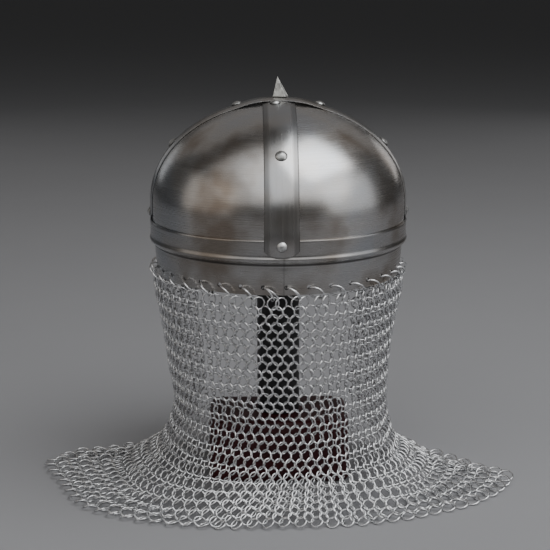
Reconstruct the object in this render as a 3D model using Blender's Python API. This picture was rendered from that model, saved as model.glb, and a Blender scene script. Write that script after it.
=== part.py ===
"""Spangenhelm helmet with a mail curtain, standing on a plain display stand.

Metres, +Z up. The origin is on the floor, under the helmet's axis. The wearer looks along +Y:
the mail is open there, and closed round the sides and the back, which faces -Y. Plan angles are
measured from -Y, the middle of the back, positive towards +X, the wearer's right.
"""
import math

import bmesh
import bpy
import numpy as np
from mathutils import Matrix, Vector

# Fit between neighbouring pieces
CLEARANCE = 0.0003

# Skull: four plates of a dome that is a half ellipse over a straight foot
SKULL_RADIUS = 0.1045
SKULL_RISE = 0.0816
SKULL_WALL = 0.0014
SEAM_WIDTH = 0.0010
CROWN_HOLE_RADIUS = 0.0030

# Brow band: heights above its rim, and depths inwards from its upper wall
RIM_HEIGHT = 0.1785
LOWER_BAND_HEIGHT = 0.0205
BEAD_LEVEL = 0.0285
BEAD_HALF_HEIGHT = 0.0025
BEAD_PROUD = 0.0005
BAND_HEIGHT = 0.0435
BAND_LIP_PROUD = 0.0003
SPRING_LEVEL = 0.0575
BAND_WALL = 0.0015
GROOVE_DEPTH = 0.0035
RIM_TAPER = 0.0012

# Hanger holes through the lower band
HOLE_RADIUS = 0.00175
HOLE_LEVEL = 0.0062
HOLE_PITCH = math.radians(10.0)
HOLE_OFFSET = math.radians(2.0)
FACE_GAP_HALF_ANGLE = math.radians(48.0)

# Straps. The front and back arms lap over the band. The side arms end above it, and rise over
# the other strap at the crown.
STRAP_WIDTH = 0.0265
STRAP_WALL = 0.0015
STRAP_LAP = 0.0130
STRAP_END_ROUND = 0.0050
JOGGLE_RISE = 0.0125
JOGGLE_MARGIN = 0.0012
CROSSING_RAMP = 0.0260
CROSSING_MARGIN = 0.0015

# Rivets: angles up the dome's half ellipse, distances of the lowest ones from the strap's end,
# and the gap from the top ones on the lower strap to the strap that crosses it
RIVET_RADIUS = 0.0040
RIVET_HEIGHT = 0.0024
SIDE_TOP_ANGLE = math.radians(71.3)
RIVET_MIDDLE_ANGLE = math.radians(35.0)
BACK_LOW_MARGIN = 0.0088
SIDE_LOW_MARGIN = 0.0048
TOP_RIVET_GAP = 0.0013
BACK_TOP_RIVET_SHIFT = -0.0030

# Spike
SPIKE_SIDE = 0.0107
SPIKE_HEIGHT = 0.0163
SPIKE_LIP = 0.0008
SPIKE_LIP_INSET = 0.0004
SPIKE_TURN = math.radians(-15.5)
SPIKE_SHIFT = 0.0018
SPIKE_LEAN = -0.0025

# Mail curtain: a woven sheet that hangs below the band and spreads on the floor
MAIL_THICKNESS = 0.0040
MAIL_REACH = 0.2050
LEFT_TIP_ANGLE = math.radians(-93.0)
RIGHT_TIP_ANGLE = math.radians(81.0)
TIP_WALL_ANGLE = math.radians(90.0)

# Stand
BASE_WIDTH = 0.1180
BASE_DEPTH = 0.0740
BASE_HEIGHT = 0.0540
BASE_ROUND = 0.0040
POST_RADIUS = 0.0180
CAP_RADIUS = 0.0450
CAP_EDGE = 0.0080

# Facets
BAND_SIDES = 72
PLATE_COLUMNS = 10
PLATE_ROWS = 11
STRAP_COLUMNS = 4
RIVET_SIDES = 12
POST_SIDES = 32
MAIL_COLUMNS = 52
HOLE_SIDES = 8
SHARP_ANGLE = math.radians(32.0)

# The mail's profile at the back: share of the drop from band to floor, radius as a share of the
# band's rim radius, and how far the section has moved from the wall out to the rim on the floor.
MAIL_SECTIONS = [
    {"drop": 0.000, "radius": 1.000, "out": 0.00},
    {"drop": 0.060, "radius": 1.002, "out": 0.00},
    {"drop": 0.110, "radius": 0.990, "out": 0.00},
    {"drop": 0.195, "radius": 0.953, "out": 0.00},
    {"drop": 0.300, "radius": 0.926, "out": 0.00},
    {"drop": 0.400, "radius": 0.907, "out": 0.00},
    {"drop": 0.510, "radius": 0.890, "out": 0.00},
    {"drop": 0.640, "radius": 0.868, "out": 0.00},
    {"drop": 0.711, "radius": 0.866, "out": 0.04},
    {"drop": 0.773, "radius": 0.866, "out": 0.11},
    {"drop": 0.835, "radius": 0.866, "out": 0.20},
    {"drop": 0.880, "radius": 0.866, "out": 0.33},
    {"drop": 0.918, "radius": 0.866, "out": 0.51},
    {"drop": 0.957, "radius": 0.866, "out": 0.75},
    {"drop": 1.000, "radius": 0.866, "out": 1.00},
]

# The mail's edge on the floor: plan angle in degrees, and reach as a share of MAIL_REACH
MAIL_RIM = [
    {"angle": -180.0, "reach": 0.546},
    {"angle": -150.0, "reach": 0.575},
    {"angle": -132.0, "reach": 0.605},
    {"angle": -122.0, "reach": 0.630},
    {"angle": -114.0, "reach": 0.655},
    {"angle": -108.0, "reach": 0.708},
    {"angle": -104.0, "reach": 0.810},
    {"angle": -100.0, "reach": 0.925},
    {"angle": -97.0, "reach": 0.975},
    {"angle": -93.0, "reach": 1.000},
    {"angle": -85.0, "reach": 0.955},
    {"angle": -79.0, "reach": 0.920},
    {"angle": -70.0, "reach": 0.909},
    {"angle": -62.0, "reach": 0.900},
    {"angle": -55.0, "reach": 0.866},
    {"angle": -47.0, "reach": 0.820},
    {"angle": -38.0, "reach": 0.771},
    {"angle": -30.0, "reach": 0.735},
    {"angle": -20.0, "reach": 0.693},
    {"angle": -10.0, "reach": 0.667},
    {"angle": 0.0, "reach": 0.658},
    {"angle": 10.0, "reach": 0.665},
    {"angle": 20.0, "reach": 0.688},
    {"angle": 30.0, "reach": 0.720},
    {"angle": 40.0, "reach": 0.763},
    {"angle": 50.0, "reach": 0.814},
    {"angle": 60.0, "reach": 0.884},
    {"angle": 70.0, "reach": 0.943},
    {"angle": 77.0, "reach": 0.975},
    {"angle": 81.0, "reach": 0.982},
    {"angle": 85.0, "reach": 0.850},
    {"angle": 90.0, "reach": 0.790},
    {"angle": 97.0, "reach": 0.728},
    {"angle": 104.0, "reach": 0.680},
    {"angle": 112.0, "reach": 0.645},
    {"angle": 122.0, "reach": 0.630},
    {"angle": 132.0, "reach": 0.605},
    {"angle": 150.0, "reach": 0.575},
    {"angle": 180.0, "reach": 0.546},
]

# Colour, roughness and metallic value of each finish
FINISHES = {
    "skull_steel": ((0.42, 0.40, 0.38), 0.25, 1.0),
    "band_steel": ((0.40, 0.39, 0.38), 0.28, 1.0),
    "strap_steel": ((0.36, 0.35, 0.34), 0.27, 1.0),
    "rivet_steel": ((0.70, 0.70, 0.69), 0.20, 1.0),
    "spike_steel": ((0.66, 0.66, 0.63), 0.32, 1.0),
    "mail_steel": ((0.55, 0.56, 0.57), 0.35, 1.0),
    "stand_red": ((0.10, 0.012, 0.012), 0.60, 0.0),
    "stand_black": ((0.015, 0.015, 0.016), 0.55, 0.0),
}

# Heights and radii that follow from the sizes above
BEAD_Z = RIM_HEIGHT + BEAD_LEVEL
BAND_TOP_Z = RIM_HEIGHT + BAND_HEIGHT
SPRING_Z = RIM_HEIGHT + SPRING_LEVEL
SKULL_FOOT_Z = BEAD_Z + BEAD_HALF_HEIGHT
BAND_INSIDE = SKULL_RADIUS + CLEARANCE
BAND_OUTSIDE = BAND_INSIDE + BAND_WALL
GROOVE_RADIUS = BAND_OUTSIDE - GROOVE_DEPTH
RIM_RADIUS = GROOVE_RADIUS - RIM_TAPER
CROSSING_LIFT = STRAP_WALL + CLEARANCE
OVER_BAND = BAND_OUTSIDE + max(BEAD_PROUD, BAND_LIP_PROUD) + CLEARANCE - SKULL_RADIUS


def clear_scene():
    """Remove every object and mesh that the file holds."""
    for thing in list(bpy.data.objects):
        bpy.data.objects.remove(thing, do_unlink=True)
    for mesh in list(bpy.data.meshes):
        bpy.data.meshes.remove(mesh)


def finish(name):
    """Material of one finish, made once."""
    found = bpy.data.materials.get(name)
    if found:
        return found
    colour, roughness, metallic = FINISHES[name]
    material = bpy.data.materials.new(name)
    material.use_nodes = True
    shader = material.node_tree.nodes["Principled BSDF"]
    shader.inputs["Base Color"].default_value = (*colour, 1.0)
    shader.inputs["Roughness"].default_value = roughness
    shader.inputs["Metallic"].default_value = metallic
    material.diffuse_color = (*colour, 1.0)
    return material


def add_solid(name, vertices, faces, finish_name):
    """Object from vertices and faces, with its faces turned outwards and shaded smooth."""
    mesh = bpy.data.meshes.new(name)
    mesh.from_pydata([tuple(map(float, v)) for v in vertices], [], faces)
    shape = bmesh.new()
    shape.from_mesh(mesh)
    bmesh.ops.recalc_face_normals(shape, faces=shape.faces)
    shape.to_mesh(mesh)
    shape.free()
    mesh.shade_smooth()
    mesh.set_sharp_from_angle(angle=SHARP_ANGLE)
    mesh.materials.append(finish(finish_name))
    solid = bpy.data.objects.new(name, mesh)
    bpy.context.scene.collection.objects.link(solid)
    return solid


def sheet_faces(rows, columns):
    """Faces of a closed sheet: a grid outside, the same grid inside, and the edge between."""
    layer = rows * columns
    faces = []
    for i in range(rows - 1):
        for j in range(columns - 1):
            a = i * columns + j
            quad = [a, a + 1, a + columns + 1, a + columns]
            faces.append(quad)
            faces.append([layer + k for k in reversed(quad)])
    border = [j for j in range(columns)]
    border += [i * columns + columns - 1 for i in range(1, rows)]
    border += [(rows - 1) * columns + j for j in range(columns - 2, -1, -1)]
    border += [i * columns for i in range(rows - 2, 0, -1)]
    for a, b in zip(border, border[1:] + border[:1]):
        faces.append([b, a, layer + a, layer + b])
    return faces


def add_sheet(name, outside, inside, finish_name):
    """Closed sheet between two grids of points of the same shape."""
    rows, columns = outside.shape[:2]
    vertices = np.concatenate([outside.reshape(-1, 3), inside.reshape(-1, 3)])
    return add_solid(name, vertices, sheet_faces(rows, columns), finish_name)


def turned(profile, sides):
    """Solid of revolution about Z. The profile runs from one point on the axis to another."""
    turn = 2.0 * math.pi * np.arange(sides) / sides
    vertices = [(0.0, 0.0, profile[0][1])]
    for radius, height in profile[1:-1]:
        vertices += [(radius * math.cos(t), radius * math.sin(t), height) for t in turn]
    vertices.append((0.0, 0.0, profile[-1][1]))
    last = len(vertices) - 1
    rings = len(profile) - 2
    faces = []
    for j in range(sides):
        k = (j + 1) % sides
        faces.append([0, 1 + k, 1 + j])
        for i in range(rings - 1):
            low = 1 + i * sides
            faces.append([low + j, low + k, low + sides + k, low + sides + j])
        top = 1 + (rings - 1) * sides
        faces.append([top + j, top + k, last])
    return vertices, faces


def turned_ring(profile, sides):
    """Ring turned about Z from a closed profile of radius and height."""
    turn = 2.0 * math.pi * np.arange(sides) / sides
    count = len(profile)
    vertices = [(r * math.cos(t), r * math.sin(t), z) for t in turn for r, z in profile]
    faces = []
    for j in range(sides):
        here = j * count
        there = ((j + 1) % sides) * count
        for i in range(count):
            k = (i + 1) % count
            faces.append([here + i, there + i, there + k, here + k])
    return vertices, faces


def build_skull_plate(name, quarter):
    """One quarter of the dome. It stops half a seam short of each strap's middle."""
    crown_angle = math.acos(CROWN_HOLE_RADIUS / SKULL_RADIUS)
    angles = np.linspace(crown_angle, 0.0, PLATE_ROWS)
    layers = []
    for wall in (0.0, SKULL_WALL):
        radii = (SKULL_RADIUS - wall) * np.cos(angles)
        heights = SPRING_Z + (SKULL_RISE - wall) * np.sin(angles)
        radii = np.append(radii, radii[-1])
        heights = np.append(heights, SKULL_FOOT_Z)
        short = np.arcsin(SEAM_WIDTH / 2.0 / radii)
        share = np.linspace(0.0, 1.0, PLATE_COLUMNS + 1)
        turn = short[:, None] + share[None, :] * (math.pi / 2.0 - 2.0 * short[:, None])
        turn = turn + quarter * math.pi / 2.0
        points = np.stack([radii[:, None] * np.cos(turn), radii[:, None] * np.sin(turn),
                           np.broadcast_to(heights[:, None], turn.shape)], axis=-1)
        layers.append(points)
    return add_sheet(name, layers[0], layers[1], "skull_steel")


def band_profile():
    """Closed profile of the brow band: up its outside, then down its inside."""
    groove_z = RIM_HEIGHT + LOWER_BAND_HEIGHT
    bead_low = BEAD_Z - BEAD_HALF_HEIGHT
    return [
        (RIM_RADIUS, RIM_HEIGHT),
        (GROOVE_RADIUS, groove_z),
        (GROOVE_RADIUS, (groove_z + bead_low) / 2.0),
        (BAND_OUTSIDE - BEAD_PROUD, bead_low),
        (BAND_OUTSIDE + BEAD_PROUD, BEAD_Z),
        (BAND_OUTSIDE, BEAD_Z + BEAD_HALF_HEIGHT),
        (BAND_OUTSIDE + BAND_LIP_PROUD, BAND_TOP_Z),
        (BAND_INSIDE, BAND_TOP_Z),
        (BAND_INSIDE, BEAD_Z),
        (GROOVE_RADIUS - BAND_WALL, groove_z),
        (RIM_RADIUS - BAND_WALL, RIM_HEIGHT),
    ]


def hole_angles():
    """Plan angles of the hanger holes, all round but for the face gap."""
    count = round(2.0 * math.pi / HOLE_PITCH)
    angles = [HOLE_OFFSET + HOLE_PITCH * (i - count // 2) for i in range(count)]
    return [a for a in angles if abs(a) < math.pi - FACE_GAP_HALF_ANGLE]


def build_hole_cutter():
    """Short pegs through the lower band, one at each hanger hole."""
    shape = bmesh.new()
    share = HOLE_LEVEL / LOWER_BAND_HEIGHT
    radius = RIM_RADIUS + share * (GROOVE_RADIUS - RIM_RADIUS) - BAND_WALL / 2.0
    for angle in hole_angles():
        outward = Vector((math.sin(angle), -math.cos(angle), 0.0))
        place = Matrix.Translation(outward * radius + Vector((0.0, 0.0, RIM_HEIGHT + HOLE_LEVEL)))
        turn = outward.to_track_quat("Z", "Y").to_matrix().to_4x4()
        bmesh.ops.create_cone(shape, cap_ends=True, segments=HOLE_SIDES, radius1=HOLE_RADIUS,
                              radius2=HOLE_RADIUS, depth=4.0 * BAND_WALL, matrix=place @ turn)
    mesh = bpy.data.meshes.new("hole_cutter")
    shape.to_mesh(mesh)
    shape.free()
    cutter = bpy.data.objects.new("hole_cutter", mesh)
    bpy.context.scene.collection.objects.link(cutter)
    cutter.hide_render = True
    cutter.display_type = "WIRE"
    return cutter


def build_brow_band():
    """Turned band, bored with the hanger holes."""
    vertices, faces = turned_ring(band_profile(), BAND_SIDES)
    band = add_solid("brow_band", vertices, faces, "band_steel")
    cut = band.modifiers.new("hanger_holes", "BOOLEAN")
    cut.operation = "DIFFERENCE"
    cut.solver = "EXACT"
    cut.object = build_hole_cutter()
    return band


def on_skull(lateral, angle, drop):
    """Points and outward normals of the skull's outside along a strap that runs along Y.

    lateral is metres off the strap's middle, angle the place on the half ellipse from the foot
    on -Y, and drop metres down the straight foot.
    """
    shrink = np.sqrt(1.0 - (lateral / SKULL_RADIUS) ** 2)
    y = -SKULL_RADIUS * shrink * np.cos(angle)
    rise = SKULL_RISE * shrink * np.sin(angle)
    lateral = np.broadcast_to(lateral, y.shape)
    points = np.stack([lateral, y, SPRING_Z + rise - drop], axis=-1)
    normals = np.stack([lateral / SKULL_RADIUS ** 2, y / SKULL_RADIUS ** 2,
                        rise / SKULL_RISE ** 2], axis=-1)
    normals = normals / np.linalg.norm(normals, axis=-1, keepdims=True)
    return points, normals


def joggle_gap(drop):
    """Gap to the skull's foot where a strap steps out over the band."""
    joggle_foot = SPRING_Z - BAND_TOP_Z - JOGGLE_MARGIN
    share = min(max((drop - joggle_foot) / JOGGLE_RISE + 1.0, 0.0), 1.0)
    return CLEARANCE + share * (OVER_BAND - CLEARANCE)


def crossing_gap(angle):
    """Gap to the skull where a strap rises over the other one near the crown."""
    to_flat = SKULL_RADIUS * math.cos(angle) - STRAP_WIDTH / 2.0 - CROSSING_MARGIN
    share = min(max(1.0 - to_flat / CROSSING_RAMP, 0.0), 1.0)
    return CLEARANCE + share * CROSSING_LIFT


def lapped_stations():
    """Angle, drop and gap at each row of a strap whose ends lap over the band."""
    joggle_foot = SPRING_Z - BAND_TOP_Z - JOGGLE_MARGIN
    joggle_head = joggle_foot - JOGGLE_RISE
    end = SPRING_Z - BAND_TOP_Z + STRAP_LAP
    drops = [end, (end + joggle_foot) / 2.0, joggle_foot, (joggle_foot + joggle_head) / 2.0,
             joggle_head]
    rows = [(0.0, drop, joggle_gap(drop)) for drop in drops]
    return rows + [(float(t), 0.0, CLEARANCE) for t in np.linspace(0.0, math.pi / 2.0, 16)]


def crossing_stations():
    """Angle, drop and gap at each row of a strap that ends above the band and crosses over."""
    end = SPRING_Z - BAND_TOP_Z - CLEARANCE
    half_flat = STRAP_WIDTH / 2.0 + CROSSING_MARGIN
    ramp_foot = math.acos((half_flat + CROSSING_RAMP) / SKULL_RADIUS)
    ramp_head = math.acos(half_flat / SKULL_RADIUS)
    angles = np.concatenate([np.linspace(0.0, ramp_foot, 12)[:-1],
                             np.linspace(ramp_foot, ramp_head, 5)[:-1],
                             np.linspace(ramp_head, math.pi / 2.0, 3)])
    rows = [(0.0, end, CLEARANCE), (0.0, end / 2.0, CLEARANCE)]
    return rows + [(float(t), 0.0, crossing_gap(t)) for t in angles]


def build_strap(name, half, quarter_turns):
    """Strap over the dome, from the rows of one arm. Each end is an arc."""
    rows = half + [(math.pi - angle, drop, gap) for angle, drop, gap in reversed(half[:-1])]
    angle, drop, gap = (np.array(column)[:, None] for column in zip(*rows))
    lateral = np.linspace(-STRAP_WIDTH / 2.0, STRAP_WIDTH / 2.0, STRAP_COLUMNS + 1)[None, :]
    drop = np.broadcast_to(drop, (len(rows), STRAP_COLUMNS + 1)).copy()
    corner = STRAP_END_ROUND * (2.0 * lateral[0] / STRAP_WIDTH) ** 2
    drop[0] -= corner
    drop[-1] -= corner
    points, normals = on_skull(lateral, angle, drop)
    inside = points + normals * gap[..., None]
    outside = inside + normals * STRAP_WALL
    turn = np.array(Matrix.Rotation(quarter_turns * math.pi / 2.0, 3, "Z"))
    return add_sheet(name, outside @ turn.T, inside @ turn.T, "strap_steel")


def rivet_head():
    """Domed head as a cap of a sphere on a flat underside."""
    sphere = (RIVET_RADIUS ** 2 + RIVET_HEIGHT ** 2) / (2.0 * RIVET_HEIGHT)
    edge = math.asin(RIVET_RADIUS / sphere)
    profile = [(0.0, 0.0)]
    for share in (1.0, 0.7, 0.35):
        angle = edge * share
        profile.append((sphere * math.sin(angle), sphere * (math.cos(angle) - math.cos(edge))))
    profile.append((0.0, RIVET_HEIGHT))
    return turned(profile, RIVET_SIDES)


def build_rivets():
    """Three heads on each arm of the straps."""
    to_band = SPRING_Z - BAND_TOP_Z
    beside_crossing = STRAP_WIDTH / 2.0 + TOP_RIVET_GAP + RIVET_RADIUS
    lapped = {"top": (math.acos(beside_crossing / SKULL_RADIUS), 0.0, CLEARANCE),
              "middle": (RIVET_MIDDLE_ANGLE, 0.0, CLEARANCE),
              "low": (0.0, to_band + STRAP_LAP - BACK_LOW_MARGIN, OVER_BAND)}
    crossing = {"top": (SIDE_TOP_ANGLE, 0.0, crossing_gap(SIDE_TOP_ANGLE)),
                "middle": (RIVET_MIDDLE_ANGLE, 0.0, crossing_gap(RIVET_MIDDLE_ANGLE)),
                "low": (0.0, to_band - CLEARANCE - SIDE_LOW_MARGIN, CLEARANCE)}
    arms = {"back": lapped, "right": crossing, "front": lapped, "left": crossing}
    vertices, faces = rivet_head()
    for quarter_turns, (arm, levels) in enumerate(arms.items()):
        for level, (angle, drop, gap) in levels.items():
            shift = BACK_TOP_RIVET_SHIFT if (arm, level) == ("back", "top") else 0.0
            point, normal = on_skull(np.array(shift), np.array(angle), np.array(drop))
            seat = Vector(point + normal * (gap + STRAP_WALL + CLEARANCE))
            turn = Matrix.Rotation(quarter_turns * math.pi / 2.0, 4, "Z")
            up = Vector(normal).to_track_quat("Z", "Y").to_matrix().to_4x4()
            rivet = add_solid("rivet_" + arm + "_" + level, vertices, faces, "rivet_steel")
            rivet.matrix_world = turn @ Matrix.Translation(seat) @ up


def build_spike():
    """Leaning four-sided pyramid with a low upright lip round its foot."""
    half = SPIKE_SIDE / 2.0
    corners = [(-half, -half), (half, -half), (half, half), (-half, half)]
    inset = 1.0 - SPIKE_LIP_INSET / half
    vertices = [(x, y, 0.0) for x, y in corners]
    vertices += [(x, y, SPIKE_LIP) for x, y in corners]
    vertices += [(x * inset, y * inset, SPIKE_LIP) for x, y in corners]
    tip = Matrix.Rotation(-SPIKE_TURN, 3, "Z") @ Vector((SPIKE_LEAN, 0.0, SPIKE_HEIGHT))
    vertices.append(tuple(tip))
    faces = [[3, 2, 1, 0]]
    for i in range(4):
        k = (i + 1) % 4
        faces.append([i, k, 4 + k, 4 + i])
        faces.append([4 + i, 4 + k, 8 + k, 8 + i])
        faces.append([8 + i, 8 + k, 12])
    spike = add_solid("spike", vertices, faces, "spike_steel")
    seat = SPRING_Z + SKULL_RISE + CLEARANCE + CROSSING_LIFT + STRAP_WALL + CLEARANCE
    spike.location = (SPIKE_SHIFT, 0.0, seat)
    spike.rotation_euler = (0.0, 0.0, SPIKE_TURN)


def mail_rim(wall_angle):
    """Point on the floor below each wall angle.

    The rings of the edge are evenly spaced along it, so the columns fan out towards the tips.
    """
    table_angle = np.radians([row["angle"] for row in MAIL_RIM])
    table_reach = MAIL_REACH * np.array([row["reach"] for row in MAIL_RIM])
    plan = np.linspace(-math.pi, math.pi, 361)
    reach = np.interp(plan, table_angle, table_reach)
    x = reach * np.sin(plan)
    y = -reach * np.cos(plan)
    length = np.append(0.0, np.cumsum(np.hypot(np.diff(x), np.diff(y))))
    marks = np.interp([-math.pi, LEFT_TIP_ANGLE, RIGHT_TIP_ANGLE, math.pi], plan, length)
    stops = [-math.pi, -TIP_WALL_ANGLE, TIP_WALL_ANGLE, math.pi]
    place = np.interp(wall_angle, stops, marks)
    return np.interp(place, length, x), np.interp(place, length, y)


def waist_row():
    """First section that has moved out from the wall."""
    return [row["out"] > 0.0 for row in MAIL_SECTIONS].index(True)


def mail_surface(wall_angle):
    """Middle of the mail: one row of points for each section, one column for each angle.

    Where the skirt runs further out than at the back, it comes down to the floor within the
    back's run and lies flat from there.
    """
    drop, radius, out = (np.array([row[key] for row in MAIL_SECTIONS])[:, None]
                         for key in ("drop", "radius", "out"))
    rim_x, rim_y = mail_rim(wall_angle)
    wall = RIM_RADIUS * radius
    run = np.hypot(rim_x, rim_y) - wall[-1]
    back_run = np.hypot(*mail_rim(0.0)) - wall[-1]
    spread = out * np.maximum(run / back_run, 1.0)
    foot = waist_row() - 1
    drop = np.broadcast_to(drop, spread.shape).copy()
    drop[foot:] = np.interp(spread[foot:], out[foot:, 0], drop[foot:, 0])
    x = wall * np.sin(wall_angle) * (1.0 - out) + rim_x * out
    y = -wall * np.cos(wall_angle) * (1.0 - out) + rim_y * out
    top = RIM_HEIGHT - CLEARANCE
    z = top + (MAIL_THICKNESS / 2.0 - top) * drop
    return np.stack([x, y, z], axis=-1)


def build_mail():
    """Upright wall and spreading skirt of the mail, which meet where the wall starts to spread.

    Each is a closed sheet in the mail's outer form, open at the face. The skirt's lower edge
    lies on the floor.
    """
    edge = math.pi - FACE_GAP_HALF_ANGLE
    middle = mail_surface(np.linspace(-edge, edge, MAIL_COLUMNS + 1))
    along = np.gradient(middle, axis=1)
    down = np.gradient(middle, axis=0)
    normals = np.cross(down, along)
    normals = normals / np.linalg.norm(normals, axis=-1, keepdims=True)
    normals[0, :, 2] = 0.0
    outside = middle + normals * MAIL_THICKNESS / 2.0
    inside = middle - normals * MAIL_THICKNESS / 2.0
    inside[-1, :, 2] = 0.0
    waist = waist_row()
    add_sheet("mail_wall", outside[:waist + 1], inside[:waist + 1], "mail_steel")
    outside[waist, :, 2] -= CLEARANCE
    inside[waist, :, 2] -= CLEARANCE
    add_sheet("mail_skirt", outside[waist:], inside[waist:], "mail_steel")


def build_stand():
    """Block, post and a rounded cap that carries the crown from inside."""
    shape = bmesh.new()
    bmesh.ops.create_cube(shape, size=1.0)
    bmesh.ops.scale(shape, vec=(BASE_WIDTH, BASE_DEPTH, BASE_HEIGHT), verts=shape.verts)
    bmesh.ops.translate(shape, vec=(0.0, 0.0, BASE_HEIGHT / 2.0), verts=shape.verts)
    mesh = bpy.data.meshes.new("stand_base")
    shape.to_mesh(mesh)
    shape.free()
    mesh.materials.append(finish("stand_red"))
    base = bpy.data.objects.new("stand_base", mesh)
    bpy.context.scene.collection.objects.link(base)
    round_edges = base.modifiers.new("round_edges", "BEVEL")
    round_edges.width = BASE_ROUND
    round_edges.segments = 2

    hollow_radius = SKULL_RADIUS - SKULL_WALL - CLEARANCE
    hollow_rise = SKULL_RISE - SKULL_WALL - CLEARANCE
    facet_dip = SKULL_RADIUS * (1.0 - math.cos(math.pi / 4.0 / PLATE_COLUMNS))
    radii = np.linspace(CAP_RADIUS, 0.0, 6)
    crown = SPRING_Z + hollow_rise * np.sqrt(1.0 - (radii / hollow_radius) ** 2) - facet_dip
    under = crown[0] - CAP_EDGE
    profile = [(0.0, under), (CAP_RADIUS, under)] + list(zip(radii, crown))
    vertices, faces = turned(profile, POST_SIDES)
    add_solid("stand_cap", vertices, faces, "stand_black")

    foot = BASE_HEIGHT + CLEARANCE
    head = under - CLEARANCE
    vertices, faces = turned([(0.0, foot), (POST_RADIUS, foot), (POST_RADIUS, head), (0.0, head)],
                             POST_SIDES)
    add_solid("stand_post", vertices, faces, "stand_black")


def build():
    """The whole object."""
    clear_scene()
    build_skull_plate("skull_plate_front_right", 0)
    build_skull_plate("skull_plate_front_left", 1)
    build_skull_plate("skull_plate_back_left", 2)
    build_skull_plate("skull_plate_back_right", 3)
    build_brow_band()
    build_strap("strap_front_back", lapped_stations(), 0)
    build_strap("strap_side_to_side", crossing_stations(), 1)
    build_rivets()
    build_spike()
    build_mail()
    build_stand()


build()
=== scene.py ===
"""Finished look of a spangenhelm helmet with a mail curtain, on its plain stand.

Metres, +Z up, origin on the floor under the helmet's axis. The back of the helmet faces -Y,
towards the camera, and the wearer looks along +Y. Plan angles are measured from -Y, positive
towards +X.
"""
from __future__ import annotations

import logging
import math
from dataclasses import dataclass, field, replace
from enum import Enum

import bmesh
import bpy
import numpy as np
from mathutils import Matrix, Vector


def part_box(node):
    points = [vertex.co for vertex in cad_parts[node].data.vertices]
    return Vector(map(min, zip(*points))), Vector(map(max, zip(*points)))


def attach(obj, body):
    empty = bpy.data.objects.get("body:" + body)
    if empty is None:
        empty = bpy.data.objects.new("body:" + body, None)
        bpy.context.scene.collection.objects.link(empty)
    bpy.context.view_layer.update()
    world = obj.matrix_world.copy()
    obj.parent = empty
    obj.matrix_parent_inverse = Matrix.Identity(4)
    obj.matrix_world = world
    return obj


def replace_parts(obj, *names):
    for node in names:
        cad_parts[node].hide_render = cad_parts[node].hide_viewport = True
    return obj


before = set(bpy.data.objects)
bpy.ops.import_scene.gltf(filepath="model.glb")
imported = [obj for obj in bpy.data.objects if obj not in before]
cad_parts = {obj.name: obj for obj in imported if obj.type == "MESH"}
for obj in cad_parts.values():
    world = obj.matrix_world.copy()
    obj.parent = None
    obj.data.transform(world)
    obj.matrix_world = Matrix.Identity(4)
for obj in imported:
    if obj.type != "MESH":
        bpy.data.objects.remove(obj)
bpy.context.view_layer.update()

Pair = tuple[float, float]
Triple = tuple[float, float, float]

LOG = logging.getLogger("spangenhelm")
BODY = "root"
FIT = 0.0003
FULL_TURN = 2.0 * math.pi
QUARTER_TURN = math.pi / 2.0
CRISP = math.radians(35.0)
MERGE_DISTANCE = 1e-7


# Shader graphs

class Link:
    """A shader socket that Python's operators work on, each adding a Math node."""

    def __init__(self, graph: "Graph", socket: bpy.types.NodeSocket) -> None:
        """Keep the graph and the output socket.

        Args:
            graph: the graph that the socket belongs to.
            socket: an output socket of one of its nodes.
        """
        self.graph = graph
        self.socket = socket

    def _math(self, operation: str, first: "Link | float", second: "Link | float") -> "Link":
        """Add one Math node of two values.

        Args:
            operation: the node's operation.
            first: left value.
            second: right value.

        Returns:
            The node's result.
        """
        return self.graph.node("ShaderNodeMath", {"operation": operation}, {0: first, 1: second})

    def __add__(self, other: "Link | float") -> "Link":
        """Sum."""
        return self._math("ADD", self, other)

    def __radd__(self, other: float) -> "Link":
        """Sum, reflected."""
        return self._math("ADD", other, self)

    def __sub__(self, other: "Link | float") -> "Link":
        """Difference."""
        return self._math("SUBTRACT", self, other)

    def __rsub__(self, other: float) -> "Link":
        """Difference, reflected."""
        return self._math("SUBTRACT", other, self)

    def __mul__(self, other: "Link | float") -> "Link":
        """Product."""
        return self._math("MULTIPLY", self, other)

    def __rmul__(self, other: float) -> "Link":
        """Product, reflected."""
        return self._math("MULTIPLY", other, self)

    def __abs__(self) -> "Link":
        """Size without its sign."""
        return self.graph.node("ShaderNodeMath", {"operation": "ABSOLUTE"}, {0: self})

    def ramp(self, low: float, high: float) -> "Link":
        """Share of the way from low to high, held between 0 and 1 and eased at both ends.

        Args:
            low: value that gives 0.
            high: value that gives 1.

        Returns:
            The share.
        """
        inputs = {"Value": self, "From Min": low, "From Max": high}
        return self.graph.node("ShaderNodeMapRange", {"interpolation_type": "SMOOTHSTEP"}, inputs)


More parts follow.
